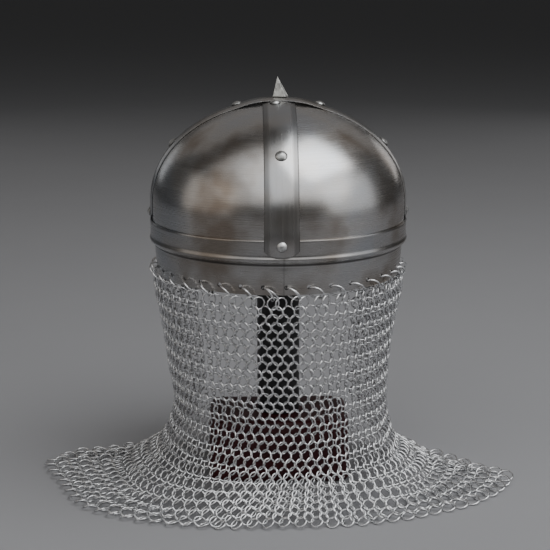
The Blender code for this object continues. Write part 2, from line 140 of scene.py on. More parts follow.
class Graph:
    """A material's node tree, built by one method that adds any node."""

    def __init__(self, name: str) -> None:
        """Start an empty material with its Principled shader.

        Args:
            name: the material's name.
        """
        self.material = bpy.data.materials.new(name)
        self.material.use_nodes = True
        self.tree = self.material.node_tree
        self.shader = self.tree.nodes["Principled BSDF"]

    def node(self, kind: str, settings: dict | None = None, inputs: dict | None = None,
             output: int | str = 0) -> Link:
        """Add a node, with its settings first and then its sockets.

        Args:
            kind: the node's type.
            settings: attributes; "stops" holds a ramp's list of place and colour.
            inputs: values or links by socket name or number.
            output: name or number of the output wanted.

        Returns:
            That output.
        """
        made = self.tree.nodes.new(kind)
        for key, value in (settings or {}).items():
            if key == "stops":
                self._fill_ramp(made.color_ramp, value)
            else:
                setattr(made, key, value)
        for key, value in (inputs or {}).items():
            if isinstance(value, Link):
                self.tree.links.new(value.socket, made.inputs[key])
            else:
                made.inputs[key].default_value = value
        return Link(self, made.outputs[output])

    @staticmethod
    def _fill_ramp(ramp: bpy.types.ColorRamp, stops: list[tuple[float, Triple]]) -> None:
        """Write a ramp's stops.

        Args:
            ramp: the ramp.
            stops: place and colour of each stop.
        """
        while len(ramp.elements) < len(stops):
            ramp.elements.new(1.0)
        for element, (place, colour) in zip(ramp.elements, stops):
            element.position = place
            element.color = (*colour, 1.0)

    def set(self, **values: "Link | float | tuple") -> None:
        """Set the shader's sockets, with underscores for the spaces in their names.

        Args:
            **values: value or link of each socket.
        """
        for key, value in values.items():
            socket = self.shader.inputs[key.replace("_", " ")]
            if isinstance(value, Link):
                self.tree.links.new(value.socket, socket)
            else:
                socket.default_value = value

    def mix(self, share: Link, first: Link | tuple, second: Link | tuple) -> Link:
        """Mix two colours.

        Args:
            share: how much of the second.
            first: colour at 0.
            second: colour at 1.

        Returns:
            The mixed colour.
        """
        inputs = {0: share, 6: self._rgba(first), 7: self._rgba(second)}
        return self.node("ShaderNodeMix", {"data_type": "RGBA"}, inputs, 2)

    @staticmethod
    def _rgba(colour: Link | tuple) -> Link | tuple:
        """Give a plain colour its alpha.

        Args:
            colour: a link, or three numbers.

        Returns:
            The link, or four numbers.
        """
        return colour if isinstance(colour, Link) else (*colour, 1.0)

    def noise(self, vector: Link, scale: float, detail: float = 4.0,
              roughness: float = 0.55) -> Link:
        """Noise texture's factor.

        Args:
            vector: where it is read.
            scale: its scale.
            detail: number of octaves.
            roughness: weight of the finer octaves.

        Returns:
            The factor, 0 to 1.
        """
        inputs = {"Vector": vector, "Scale": scale, "Detail": detail, "Roughness": roughness}
        return self.node("ShaderNodeTexNoise", {}, inputs)

    def place(self, source: str = "Object", scale: Triple = (1.0, 1.0, 1.0)) -> Link:
        """Coordinates of the surface, stretched.

        Args:
            source: "Object" or "UV".
            scale: stretch along each axis.

        Returns:
            The vector.
        """
        vector = self.node("ShaderNodeTexCoord", {}, {}, source)
        return self.node("ShaderNodeMapping", {}, {"Vector": vector, "Scale": scale})

    def surface_at(self, axis: str) -> Link:
        """UV in metres: "X" along the brush lines or round the piece, "Y" across or up it."""
        return self.node("ShaderNodeSeparateXYZ", {}, {0: self.place("UV")}, axis)

    def bump(self, height: Link, distance: float, strength: float,
             normal: Link | None = None) -> Link:
        """Bump from a height.

        Args:
            height: the height, 0 to 1.
            distance: metres that 1 stands for.
            strength: share of the effect.
            normal: bump that lies under this one.

        Returns:
            The bent normal.
        """
        inputs = {"Height": height, "Distance": distance, "Strength": strength}
        if normal:
            inputs["Normal"] = normal
        return self.node("ShaderNodeBump", {}, inputs)


class Slot(Enum):
    """Material slots of the record."""

    SKULL = "skull_steel"
    BAND = "band_steel"
    STRAP = "strap_steel"
    RIVET = "rivet_steel"
    SPIKE = "spike_steel"
    MAIL = "mail_steel"
    BASE = "stand_red"
    POST = "stand_black"


@dataclass(frozen=True)
class RolledSteel:
    """Sheet steel polished along its length: brush lines, cloudy tints and faint stains."""

    name: str
    dark: Triple
    light: Triple
    roughness: float
    brush_along: float = 14.0
    brush_across: float = 2600.0
    streak_across: float = 420.0
    streak_dulling: float = 0.10
    brush_band: Pair = (0.35, 0.75)
    brush_share: float = 0.12
    brush_dulling: float = 0.08
    brush_depth: float = 0.000006
    cloud_scale: float = 16.0
    tint_places: Triple = (0.34, 0.50, 0.66)
    warm_tint: Triple = (1.10, 1.0, 0.90)
    cool_tint: Triple = (0.92, 0.98, 1.06)
    wave_depth: float = 0.0006
    stain_scale: float = 80.0
    stain_band: Pair = (0.62, 0.80)
    stain_share: float = 0.35
    dull_band: Pair = (0.60, 0.85)
    stain_dulling: float = 0.12
    seam_at: float | None = None
    seam_half: float = 0.0011
    seam_depth: float = 0.0002
    seam_share: float = 0.30
    seam_colour: Triple = (0.05, 0.045, 0.04)
    # A line of painted shade along the brush lines in a groove, where a step faces down; it also
    # dulls the roughness.
    groove_at: float | None = None
    groove_half: float = 0.0016
    groove_shade_share: float = 0.80
    groove_dulling: float = 0.25
    groove_shade_colour: Triple = (0.035, 0.032, 0.030)
    # Painted shade towards the rim: a broad band (shade) for the dark reflection of the rounded
    # border, and a narrow painted shadow line (rim) at the long edges and the ends.
    rim_at: float | None = None
    end_at: float = 1.0
    rim_ramp: Pair = (0.0012, 0.0002)
    end_ramp: Pair = (0.0014, 0.0002)
    shade_ramp: Pair = (0.0056, 0.0026)
    rim_shade_strength: float = 0.80
    rim_share: float = 0.44
    rim_dulling: float = 0.15
    shade_share: float = 0.56
    shade_dulling: float = 0.06
    rim_shade_colour: Triple = (0.045, 0.042, 0.040)

    def build(self) -> bpy.types.Material:
        """Build the material. UV is in metres, with the brush lines along U.

        Where they are set, a seam crosses the brush lines, a line of painted shade follows them
        in the groove, and painted shade darkens the rim towards the long edges and, over a
        shorter way, towards the ends.

        Returns:
            The material.
        """
        graph = Graph(self.name)
        brush = graph.noise(graph.place("UV", (self.brush_along, self.brush_across, 1.0)), 1.0,
                            3.0)
        streak = graph.noise(graph.place("UV", (self.brush_along / 2.0, self.streak_across, 1.0)),
                             1.0, 3.0)
        cloud = graph.noise(graph.place(), self.cloud_scale, 3.0)
        stain = graph.noise(graph.place(), self.stain_scale, 6.0, 0.65)
        warm = tuple(c * t for c, t in zip(self.dark, self.warm_tint))
        cool = tuple(c * t for c, t in zip(self.light, self.cool_tint))
        stops = list(zip(self.tint_places, (warm, self.light, cool)))
        tint = graph.node("ShaderNodeValToRGB", {"stops": stops}, {"Fac": cloud})
        colour = graph.mix(stain.ramp(*self.stain_band) * self.stain_share, tint, self.dark)
        colour = graph.mix(brush.ramp(*self.brush_band) * self.brush_share, colour, self.dark)
        roughness = (self.roughness + (streak - 0.5) * self.streak_dulling
                     + (brush - 0.5) * self.brush_dulling
                     + stain.ramp(*self.dull_band) * self.stain_dulling)
        normal = graph.bump(cloud, self.wave_depth, 0.25)
        normal = graph.bump(brush, self.brush_depth, 0.20, normal)
        if self.seam_at is not None:
            line = self._line(graph, "X", self.seam_at, self.seam_half)
            colour = graph.mix(line * self.seam_share, colour, self.seam_colour)
            normal = graph.bump(1.0 - line, self.seam_depth, 0.4, normal)
        # Painted shade: a dark line along the groove.
        if self.groove_at is not None:
            line = self._line(graph, "Y", self.groove_at, self.groove_half)
            colour = graph.mix(line * self.groove_shade_share, colour, self.groove_shade_colour)
            roughness = roughness + line * self.groove_dulling
        # Painted shade near the long edges, and a painted shadow line at the edges and the ends.
        if self.rim_at is not None:
            side = abs(graph.surface_at("Y"))
            rim = self._towards(side, self.rim_at, self.rim_ramp)
            shade = self._towards(side, self.rim_at, self.shade_ramp)
            end = self._towards(abs(graph.surface_at("X")), self.end_at, self.end_ramp)
            rim = 1.0 - (1.0 - rim) * (1.0 - end)
            share = (shade * (self.shade_share * self.rim_shade_strength)
                     + rim * (self.rim_share * self.rim_shade_strength))
            colour = graph.mix(share, colour, self.rim_shade_colour)
            roughness = roughness + rim * self.rim_dulling + shade * self.shade_dulling
        graph.set(Base_Color=colour, Metallic=1.0, Roughness=roughness, Normal=normal)
        return graph.material

    @staticmethod
    def _towards(place: Link, edge: float, ramp: Pair) -> Link:
        """Share that rises from 0 to 1 close to an edge.

        Args:
            place: distance from the middle.
            edge: where the edge lies.
            ramp: metres inside the edge where the share is 0, and where it is 1.

        Returns:
            The share.
        """
        return place.ramp(edge - ramp[0], edge - ramp[1])

    @staticmethod
    def _line(graph: Graph, axis: str, place: float, half: float) -> Link:
        """Soft line across the surface: 1 along its middle, 0 from its edges on.

        Args:
            graph: the graph.
            axis: "X" for a line across the brush lines, "Y" for one along them.
            place: where it lies, in metres of UV.
            half: half its width.

        Returns:
            The share.
        """
        return 1.0 - abs(graph.surface_at(axis) - place).ramp(0.25 * half, half)


@dataclass(frozen=True)
class DrawnWire:
    """Bright round wire of the rings. A tone of its own for each ring, with dull patches."""

    name: str
    dark: Triple = (0.56, 0.565, 0.575)
    light: Triple = (0.94, 0.945, 0.95)
    roughness: float = 0.25
    patch_scale: float = 420.0
    patch_band: Pair = (0.30, 0.72)
    scratch_scale: float = 2600.0
    scratch_depth: float = 0.00003
    tone_share: float = 0.55
    patch_share: float = 0.45
    dark_dulling: float = 0.22
    scratch_dulling: float = 0.08

    def build(self) -> bpy.types.Material:
        """Build the material from the "tone" attribute and fine noise.

        Returns:
            The material.
        """
        graph = Graph(self.name)
        tone = graph.node("ShaderNodeAttribute", {"attribute_name": "tone"}, {}, "Fac")
        patch = graph.noise(graph.place(), self.patch_scale, 4.0)
        scratch = graph.noise(graph.place(), self.scratch_scale, 2.0)
        share = tone * self.tone_share + patch.ramp(*self.patch_band) * self.patch_share
        colour = graph.mix(share, self.dark, self.light)
        roughness = (self.roughness + (0.5 - share) * self.dark_dulling
                     + (scratch - 0.5) * self.scratch_dulling)
        normal = graph.bump(scratch, self.scratch_depth, 0.35)
        graph.set(Base_Color=colour, Metallic=1.0, Roughness=roughness, Normal=normal)
        return graph.material


@dataclass(frozen=True)
class BrightSteel:
    """Turned or filed steel of the small pieces, with fine scratches and painted shadow at the
    feet.
    """

    name: str
    dark: Triple
    light: Triple
    roughness: float
    # Height of UV below which shadow is painted at the foot, where a head meets its strap.
    foot: float | None = None
    foot_shadow_colour: Triple = (0.035, 0.033, 0.031)
    foot_shadow_share: float = 0.85
    patch_scale: float = 260.0
    patch_band: Pair = (0.32, 0.62)
    patch_dulling: float = 0.10
    scratch_scale: float = 900.0
    scratch_stretch: Triple = (1.0, 1.0, 6.0)
    scratch_dulling: float = 0.20
    scratch_depth: float = 0.00004

    def build(self) -> bpy.types.Material:
        """Build the material. Where foot is set, painted shadow darkens it below that height of
        UV.

        Returns:
            The material.
        """
        graph = Graph(self.name)
        patch = graph.noise(graph.place(), self.patch_scale, 5.0)
        scratch = graph.noise(graph.place("Object", self.scratch_stretch), self.scratch_scale,
                              4.0, 0.7)
        colour = graph.mix(patch.ramp(*self.patch_band), self.dark, self.light)
        # Painted shadow round the foot.
        if self.foot is not None:
            low = 1.0 - graph.surface_at("Y").ramp(0.3 * self.foot, self.foot)
            colour = graph.mix(low * self.foot_shadow_share, colour, self.foot_shadow_colour)
        roughness = (self.roughness + (scratch - 0.5) * self.scratch_dulling
                     + (patch - 0.5) * self.patch_dulling)
        normal = graph.bump(scratch, self.scratch_depth, 0.4)
        graph.set(Base_Color=colour, Metallic=1.0, Roughness=roughness, Normal=normal)
        return graph.material


@dataclass(frozen=True)
class PaintedWood:
    """Painted wood of the stand: a faint grain under the paint, with rubbed patches."""

    name: str
    colour: Triple
    rubbed: Triple
    grain_stretch: Triple
    roughness: float
    grain_scale: float = 90.0
    grain_band: Pair = (0.40, 0.72)
    grain_share: float = 0.50
    grain_dulling: float = 0.20
    grain_depth: float = 0.0003
    blotch_scale: float = 34.0
    blotch_band: Pair = (0.55, 0.78)
    blotch_share: float = 0.35
    fleck_scale: float = 700.0
    fleck_dulling: float = 0.08
    fleck_depth: float = 0.00008

    def build(self) -> bpy.types.Material:
        """Build the material.

        Returns:
            The material.
        """
        graph = Graph(self.name)
        grain = graph.noise(graph.place("Object", self.grain_stretch), self.grain_scale, 5.0)
        blotch = graph.noise(graph.place(), self.blotch_scale, 4.0)
        fleck = graph.noise(graph.place(), self.fleck_scale, 2.0)
        worn = grain.ramp(*self.grain_band) * self.grain_share
        colour = graph.mix(worn, self.colour, self.rubbed)
        blotches = blotch.ramp(*self.blotch_band) * self.blotch_share
        colour = graph.mix(blotches, colour, self.rubbed)
        roughness = (self.roughness + (grain - 0.5) * self.grain_dulling
                     + (fleck - 0.5) * self.fleck_dulling)
        normal = graph.bump(grain, self.grain_depth, 0.35)
        normal = graph.bump(fleck, self.fleck_depth, 0.25, normal)
        graph.set(Base_Color=colour, Roughness=roughness, Normal=normal)
        return graph.material


@dataclass(frozen=True)
class StudioFloor:
    """Pale matt paper of the studio floor."""

    name: str = "studio_paper"
    colour: Triple = (0.30, 0.30, 0.31)
    mottle_scale: float = 6.0
    mottle_dark: float = 0.95
    roughness: float = 0.9

    def build(self) -> bpy.types.Material:
        """Build the material.

        Returns:
            The material.
        """
        graph = Graph(self.name)
        mottle = graph.noise(graph.place(), self.mottle_scale, 5.0)
        darker = tuple(self.mottle_dark * c for c in self.colour)
        colour = graph.mix(mottle, darker, self.colour)
        graph.set(Base_Color=colour, Roughness=self.roughness)
        return graph.material


# Meshes from whole arrays

def grid_quads(rows: int, columns: int, wrap_rows: bool = False,
               wrap_columns: bool = False) -> np.ndarray:
    """Quads of a grid of points, numbered row by row.

    Args:
        rows: rows of points.
        columns: points in a row.
        wrap_rows: whether the last row joins the first.
        wrap_columns: whether a row's last point joins its first.

    Returns:
        Array of four point numbers a quad.
    """
    i = np.arange(rows if wrap_rows else rows - 1)[:, None]
    j = np.arange(columns if wrap_columns else columns - 1)[None, :]
    above = ((i + 1) % rows) * columns
    beside = (j + 1) % columns
    quads = np.stack([i * columns + j, i * columns + beside, above + beside, above + j], -1)
    return quads.reshape(-1, 4)


def turned_outwards(points: np.ndarray, quads: np.ndarray) -> np.ndarray:
    """Turn a closed mesh's quads so that they face outwards.

    The signed volume is the sum over the quads' triangles of a . (b x c) / 6.

    Args:
        points: array of points.
        quads: array of quads.

    Returns:
        The quads, reversed if the volume was negative.
    """
    a, b, c, d = (points[quads[:, k]] for k in range(4))
    volume = np.einsum("ij,ij->", a, np.cross(b, c)) + np.einsum("ij,ij->", a, np.cross(c, d))
    return quads if volume > 0.0 else quads[:, ::-1]


def make_piece(name: str, points: np.ndarray, quads: np.ndarray,
               material: bpy.types.Material, uv: np.ndarray | None = None,
               sharp: float = CRISP) -> bpy.types.Object:
    """Put points and quads into a smooth mesh that rides on the helmet's one body.

    Args:
        name: the piece's name.
        points: array of points, in place.
        quads: array of quads of a closed shape.
        material: its finish.
        uv: two numbers a point, in metres along and across the surface.
        sharp: edges that bend by more than this stay crisp.

    Returns:
        The object.
    """
    points = points.reshape(-1, 3)
    quads = turned_outwards(points, quads)
    mesh = bpy.data.meshes.new(name)
    mesh.from_pydata(points.tolist(), [], quads.tolist())
    if uv is not None:
        layer = mesh.uv_layers.new(name="surface")
        corners = uv.reshape(-1, 2)[quads.ravel()]
        layer.data.foreach_set("uv", corners.astype(np.float32).ravel())
    shape = bmesh.new()
    shape.from_mesh(mesh)
    bmesh.ops.remove_doubles(shape, verts=shape.verts, dist=MERGE_DISTANCE)
    shape.to_mesh(mesh)
    shape.free()
    mesh.shade_smooth()
    mesh.set_sharp_from_angle(angle=sharp)
    mesh.materials.append(material)
    piece = bpy.data.objects.new(name, mesh)
    bpy.context.scene.collection.objects.link(piece)
    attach(piece, BODY)
    LOG.info("%s: %d points, %d faces", name, len(mesh.vertices), len(mesh.polygons))
    return piece


def sheet(outside: np.ndarray, inside: np.ndarray,
          uv: np.ndarray) -> tuple[np.ndarray, np.ndarray, np.ndarray]:
    """Closed sheet between two grids: each row's section runs out along one and back the other.

    Args:
        outside: rows by columns of points.
        inside: the same for the other face.
        uv: two numbers for each of a grid's points.

    Returns:
        Points, quads and UV of the closed sheet.
    """
    rows, columns = outside.shape[:2]
    points = np.concatenate([outside, inside[:, ::-1]], axis=1)
    around = 2 * columns
    quads = grid_quads(rows, around, wrap_columns=True)
    j = np.arange(columns - 1)
    cap = np.stack([j, around - 1 - j, around - 2 - j, j + 1], -1)
    last = (rows - 1) * around + cap[:, ::-1]
    quads = np.concatenate([quads, cap, last])
    return points, quads, np.concatenate([uv, uv[:, ::-1]], axis=1)


def plan_angles(sides: int) -> np.ndarray:
    """Even plan angles once round, from -pi."""
    return FULL_TURN * np.arange(sides) / sides - math.pi


def turned(radii: np.ndarray, heights: np.ndarray, sides: int,
           closed: bool = False) -> tuple[np.ndarray, np.ndarray, np.ndarray]:
    """Turn a profile about Z: point = (r sin t, -r cos t, z).

    Args:
        radii: radius at each point of the profile, or a row of radii for each plan angle.
        heights: height at each point.
        sides: number of steps round.
        closed: whether the profile's last point joins its first.

    Returns:
        Points, quads and UV, with U as the length round the outside.
    """
    turn = plan_angles(sides)
    radii = np.broadcast_to(radii, (sides, len(heights)))
    x = radii * np.sin(turn)[:, None]
    y = -radii * np.cos(turn)[:, None]
    points = np.stack([x, y, np.broadcast_to(heights, x.shape)], -1)
    quads = grid_quads(sides, len(heights), wrap_rows=True, wrap_columns=closed)
    u = np.broadcast_to(turn[:, None] * radii.max(), x.shape)
    return points, quads, np.stack([u, np.broadcast_to(heights, x.shape)], -1)


def eased(value: np.ndarray) -> np.ndarray:
    """0 below 0, 1 above 1 and 3v^2 - 2v^3 between.

    Args:
        value: the share.

    Returns:
        The eased share.
    """
    value = np.clip(value, 0.0, 1.0)
    return value * value * (3.0 - 2.0 * value)


def soften(piece: bpy.types.Object, width: float) -> None:
    """Round a piece's crisp edges.

    Args:
        piece: the piece.
        width: width of the rounding, in metres.
    """
    bevel = piece.modifiers.new("soft_edges", "BEVEL")
    bevel.width = width
    bevel.segments = 2
    bevel.limit_method = "ANGLE"
    bevel.angle_limit = math.radians(50.0)


# Sub-assemblies

@dataclass
class Skull:
    """Dome of four plates: a half ellipse turned about the axis, over a straight foot."""

    radius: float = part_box("skull_plate_back_right")[1].x
    foot_z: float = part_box("skull_plate_back_right")[0].z
    rise: float = 0.0816
    wall: float = 0.0014
    seam: float = 0.0010
    crown_hole: float = 0.0030
    spring_z: float = 0.2360
    rows: int = 44
    foot_rows: int = 4
    columns: int = 46

    def surface(self, lateral: np.ndarray, angle: np.ndarray,
                drop: np.ndarray) -> tuple[np.ndarray, np.ndarray]:
        """Points and normals of the dome's outside along a strip that runs along Y.

        A strip off the middle by w lies on the half ellipse shrunk by sqrt(1 - w^2 / a^2).

        Args:
            lateral: metres off the strip's middle.
            angle: place on the half ellipse, 0 at the back foot and pi at the front one.
            drop: metres down the straight foot.

        Returns:
            Points and unit normals.
        """
        lateral, angle, drop = np.broadcast_arrays(lateral, angle, drop)
        shrink = np.sqrt(1.0 - (lateral / self.radius) ** 2)
        y = -self.radius * shrink * np.cos(angle)
        lift = self.rise * shrink * np.sin(angle)
        points = np.stack([lateral, y, self.spring_z + lift - drop], -1)
        normals = np.stack([lateral / self.radius ** 2, y / self.radius ** 2,
                            lift / self.rise ** 2], -1)
        return points, normals / np.linalg.norm(normals, axis=-1, keepdims=True)

    def _layer(self, wall: float, quarter: int) -> tuple[np.ndarray, np.ndarray]:
        """One face of a plate: (r cos t, r sin t, z) with r and z on the half ellipse.

        Args:
            wall: depth below the outside.
            quarter: quarter turns from the front right plate.

        Returns:
            Grid of points, and its UV.
        """
        top = math.acos(self.crown_hole / self.radius)
        angle = np.linspace(top, 0.0, self.rows)
        foot = np.linspace(self.spring_z, self.foot_z, self.foot_rows + 1)[1:]
        radii = np.append((self.radius - wall) * np.cos(angle),
                          np.full(self.foot_rows, self.radius - wall))
        heights = np.append(self.spring_z + (self.rise - wall) * np.sin(angle), foot)
        short = np.arcsin(self.seam / 2.0 / radii)[:, None]
        share = np.linspace(0.0, 1.0, self.columns)[None, :]
        turn = short + share * (QUARTER_TURN - 2.0 * short) + quarter * QUARTER_TURN
        radii = radii[:, None]
        z = np.broadcast_to(heights[:, None], turn.shape)
        points = np.stack([radii * np.cos(turn), radii * np.sin(turn), z], -1)
        return points, np.stack([turn * self.radius, z], -1)

    def build(self) -> None:
        """Build the four plates."""
        material = RolledSteel("skull_polish", dark=(0.27, 0.25, 0.235),
                               light=(0.54, 0.525, 0.51), roughness=0.27).build()
        names = ("front_right", "front_left", "back_left", "back_right")
        for quarter, name in enumerate(names):
            outside, uv = self._layer(0.0, quarter)
            inside, _ = self._layer(self.wall, quarter)
            points, quads, uv = sheet(outside, inside, uv)
            plate = make_piece("plate_" + name, points, quads, material, uv)
            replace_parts(plate, "skull_plate_" + name)


@dataclass
class BrowBand:
    """Turned brow band: lower band with the hanger holes, groove, bead and upper band."""

    skull: Skull
    rim_z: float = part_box("brow_band")[0].z
    top_z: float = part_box("brow_band")[1].z
    wall: float = 0.0015
    groove_level: float = 0.0205
    bead_level: float = 0.0285
    bead_reach: float = 0.0040
    bead_proud: float = 0.0005
    bead_swell: float = 0.0008
    bead_width: float = 0.0017
    step_start: float = 0.0020
    step_shortening: float = 0.0030
    lip_proud: float = 0.0003
    groove_depth: float = 0.0035
    # Height above the groove's level of the painted shade line in the band's finish.
    groove_shade_rise: float = 0.0035
    rim_taper: float = 0.0012
    hole_radius: float = 0.00175
    hole_level: float = 0.0062
    hole_pitch: float = math.radians(10.0)
    hole_offset: float = math.radians(2.0)
    face_half_angle: float = math.radians(48.0)
    peg_sides: int = 20
    peg_reach: float = 2.0
    keel: float = 0.0004
    keel_width: float = 0.0080
    keel_fade: float = 0.0060
    keel_fade_below: float = 0.0040
    edge_bulge: float = 0.6
    edge_steps: int = 6
    plain_rows: int = 9
    bead_rows: int = 22
    seam_angle: float = math.radians(0.9)
    sides: int = 432

    @property
    def inside(self) -> float:
        """Radius that the skull's foot stands in."""
        return self.skull.radius + FIT

    @property
    def outside(self) -> float:
        """Radius of the upper band."""
        return self.inside + self.wall

    @property
    def rim_radius(self) -> float:
        """Radius of the lower edge."""
        return self.outside - self.groove_depth - self.rim_taper

    def radius_at(self, level: np.ndarray) -> np.ndarray:
        """Outside radius at a height above the rim, without the bead.

        The lower band widens evenly, then an eased step leads out to the upper band.

        Args:
            level: metres above the rim.

        Returns:
            The radius.
        """
        lower = self.rim_radius + self.rim_taper * np.clip(level / self.groove_level, 0.0, 1.0)
        share = ((level - self.groove_level - self.step_start)
                 / (self.bead_level - self.groove_level - self.step_shortening))
        band = self.top_z - self.rim_z
        dip = np.clip((level - self.bead_level) / (band - self.bead_level), 0.0, 1.0)
        upper = self.outside + self.lip_proud * dip ** 2
        return lower + (upper - lower) * eased(share)

    def profile(self) -> tuple[np.ndarray, np.ndarray]:
        """Closed profile, up the outside and down the inside, with rounded rim and lip.

        The bead swells by b exp(-((z - bead level) / width)^2), and each edge is half an
        ellipse across the wall.

        Returns:
            Radii and heights.
        """
        band = self.top_z - self.rim_z
        bulge = self.wall / 2.0 * self.edge_bulge
        above = self.bead_level + self.bead_reach
        level = np.concatenate([np.linspace(bulge, self.groove_level, self.plain_rows)[:-1],
                                np.linspace(self.groove_level, above, self.bead_rows)[:-1],
                                np.linspace(above, band - bulge, self.plain_rows)])
        bead = self.bead_swell * np.exp(-((level - self.bead_level) / self.bead_width) ** 2)
        outer = self.radius_at(level) + bead
        inner = np.minimum(self.radius_at(level) - self.wall, self.inside)
        arc = np.linspace(0.0, math.pi, self.edge_steps)[1:-1]
        lip = (outer[-1] + inner[-1]) / 2.0 + (outer[-1] - inner[-1]) / 2.0 * np.cos(arc)
        rim = (outer[0] + inner[0]) / 2.0 - (outer[0] - inner[0]) / 2.0 * np.cos(arc)
        radii = np.concatenate([outer, lip, inner[::-1], rim])
        levels = np.concatenate([level, level[-1] + bulge * np.sin(arc), level[::-1],
                                 level[0] - bulge * np.sin(arc)])
        return radii, self.rim_z + levels

    def holes(self) -> np.ndarray:
        """Plan angles of the hanger holes.

        Returns:
            The angles, from the left to the right.
        """
        count = round(FULL_TURN / self.hole_pitch)
        angles = self.hole_offset + self.hole_pitch * (np.arange(count) - count // 2)
        return angles[np.abs(angles) < math.pi - self.face_half_angle]

    def _pegs(self) -> bpy.types.Object:
        """Pegs that cut the holes: circles about each hole's outward axis.

        Returns:
            The object of closed pegs, for the band's Boolean.
        """
        count = self.peg_sides
        angle = self.holes()[:, None, None]
        around = FULL_TURN * np.arange(count)[None, None, :] / count
        reach = np.array([-self.peg_reach, self.peg_reach])[None, :, None] * self.wall
        radius = self.radius_at(np.array(self.hole_level)) - self.wall / 2.0 + reach
        side = self.hole_radius * np.cos(around)
        x = radius * np.sin(angle) + side * np.cos(angle)
        y = -radius * np.cos(angle) + side * np.sin(angle)
        z = self.rim_z + self.hole_level + self.hole_radius * np.sin(around)
        points = np.stack(np.broadcast_arrays(x, y, z), -1).reshape(-1, 3)
        walls = grid_quads(2, count, wrap_columns=True)
        starts = (np.arange(len(self.holes())) * 2 * count).tolist()
        faces = [(start + quad).tolist() for start in starts for quad in walls]
        faces += [list(range(start, start + count))[::-1] for start in starts]
        faces += [list(range(start + count, start + 2 * count)) for start in starts]
        mesh = bpy.data.meshes.new("hole_pegs")
        mesh.from_pydata(points.tolist(), [], faces)
        shape = bmesh.new()
        shape.from_mesh(mesh)
        bmesh.ops.recalc_face_normals(shape, faces=shape.faces)
        shape.to_mesh(mesh)
        shape.free()
        pegs = bpy.data.objects.new("hole_pegs", mesh)
        bpy.context.scene.collection.objects.link(pegs)
        return pegs

    def build(self) -> None:
        """Turn the band, raise its keel at the back and cut its holes.

        The keel is k exp(-|x| / width) at x round from the seam. It runs up the lower band
        alone and fades out at the groove.
        """
        radii, heights = self.profile()
        away = (plan_angles(self.sides) - self.seam_angle) * self.rim_radius
        ridge = self.keel * np.exp(-np.abs(away) / self.keel_width)[:, None]
        above = heights - self.rim_z - self.groove_level + self.keel_fade_below
        lower = 1.0 - eased(above / self.keel_fade)
        points, quads, uv = turned(radii + ridge * lower, heights, self.sides, closed=True)
        seam_at = self.seam_angle * (radii + ridge * lower).max()
        # The finish paints a line of shade in the groove, on the step that faces down below the
        # bead.
        steel = RolledSteel("band_polish", dark=(0.24, 0.23, 0.22), light=(0.44, 0.43, 0.42),
                            roughness=0.27, seam_at=float(seam_at),
                            groove_at=self.rim_z + self.groove_level + self.groove_shade_rise)
        band = make_piece("band", points, quads, steel.build(), uv)
        pegs = self._pegs()
        cut = band.modifiers.new("holes", "BOOLEAN")
        cut.operation = "DIFFERENCE"
        cut.solver = "EXACT"
        cut.object = pegs
        bpy.context.view_layer.update()
        evaluated = band.evaluated_get(bpy.context.evaluated_depsgraph_get())
        mesh = bpy.data.meshes.new_from_object(evaluated)
        band.modifiers.clear()
        band.data = mesh
        mesh.set_sharp_from_angle(angle=CRISP)
        bpy.data.objects.remove(pegs, do_unlink=True)
        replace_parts(band, "brow_band")


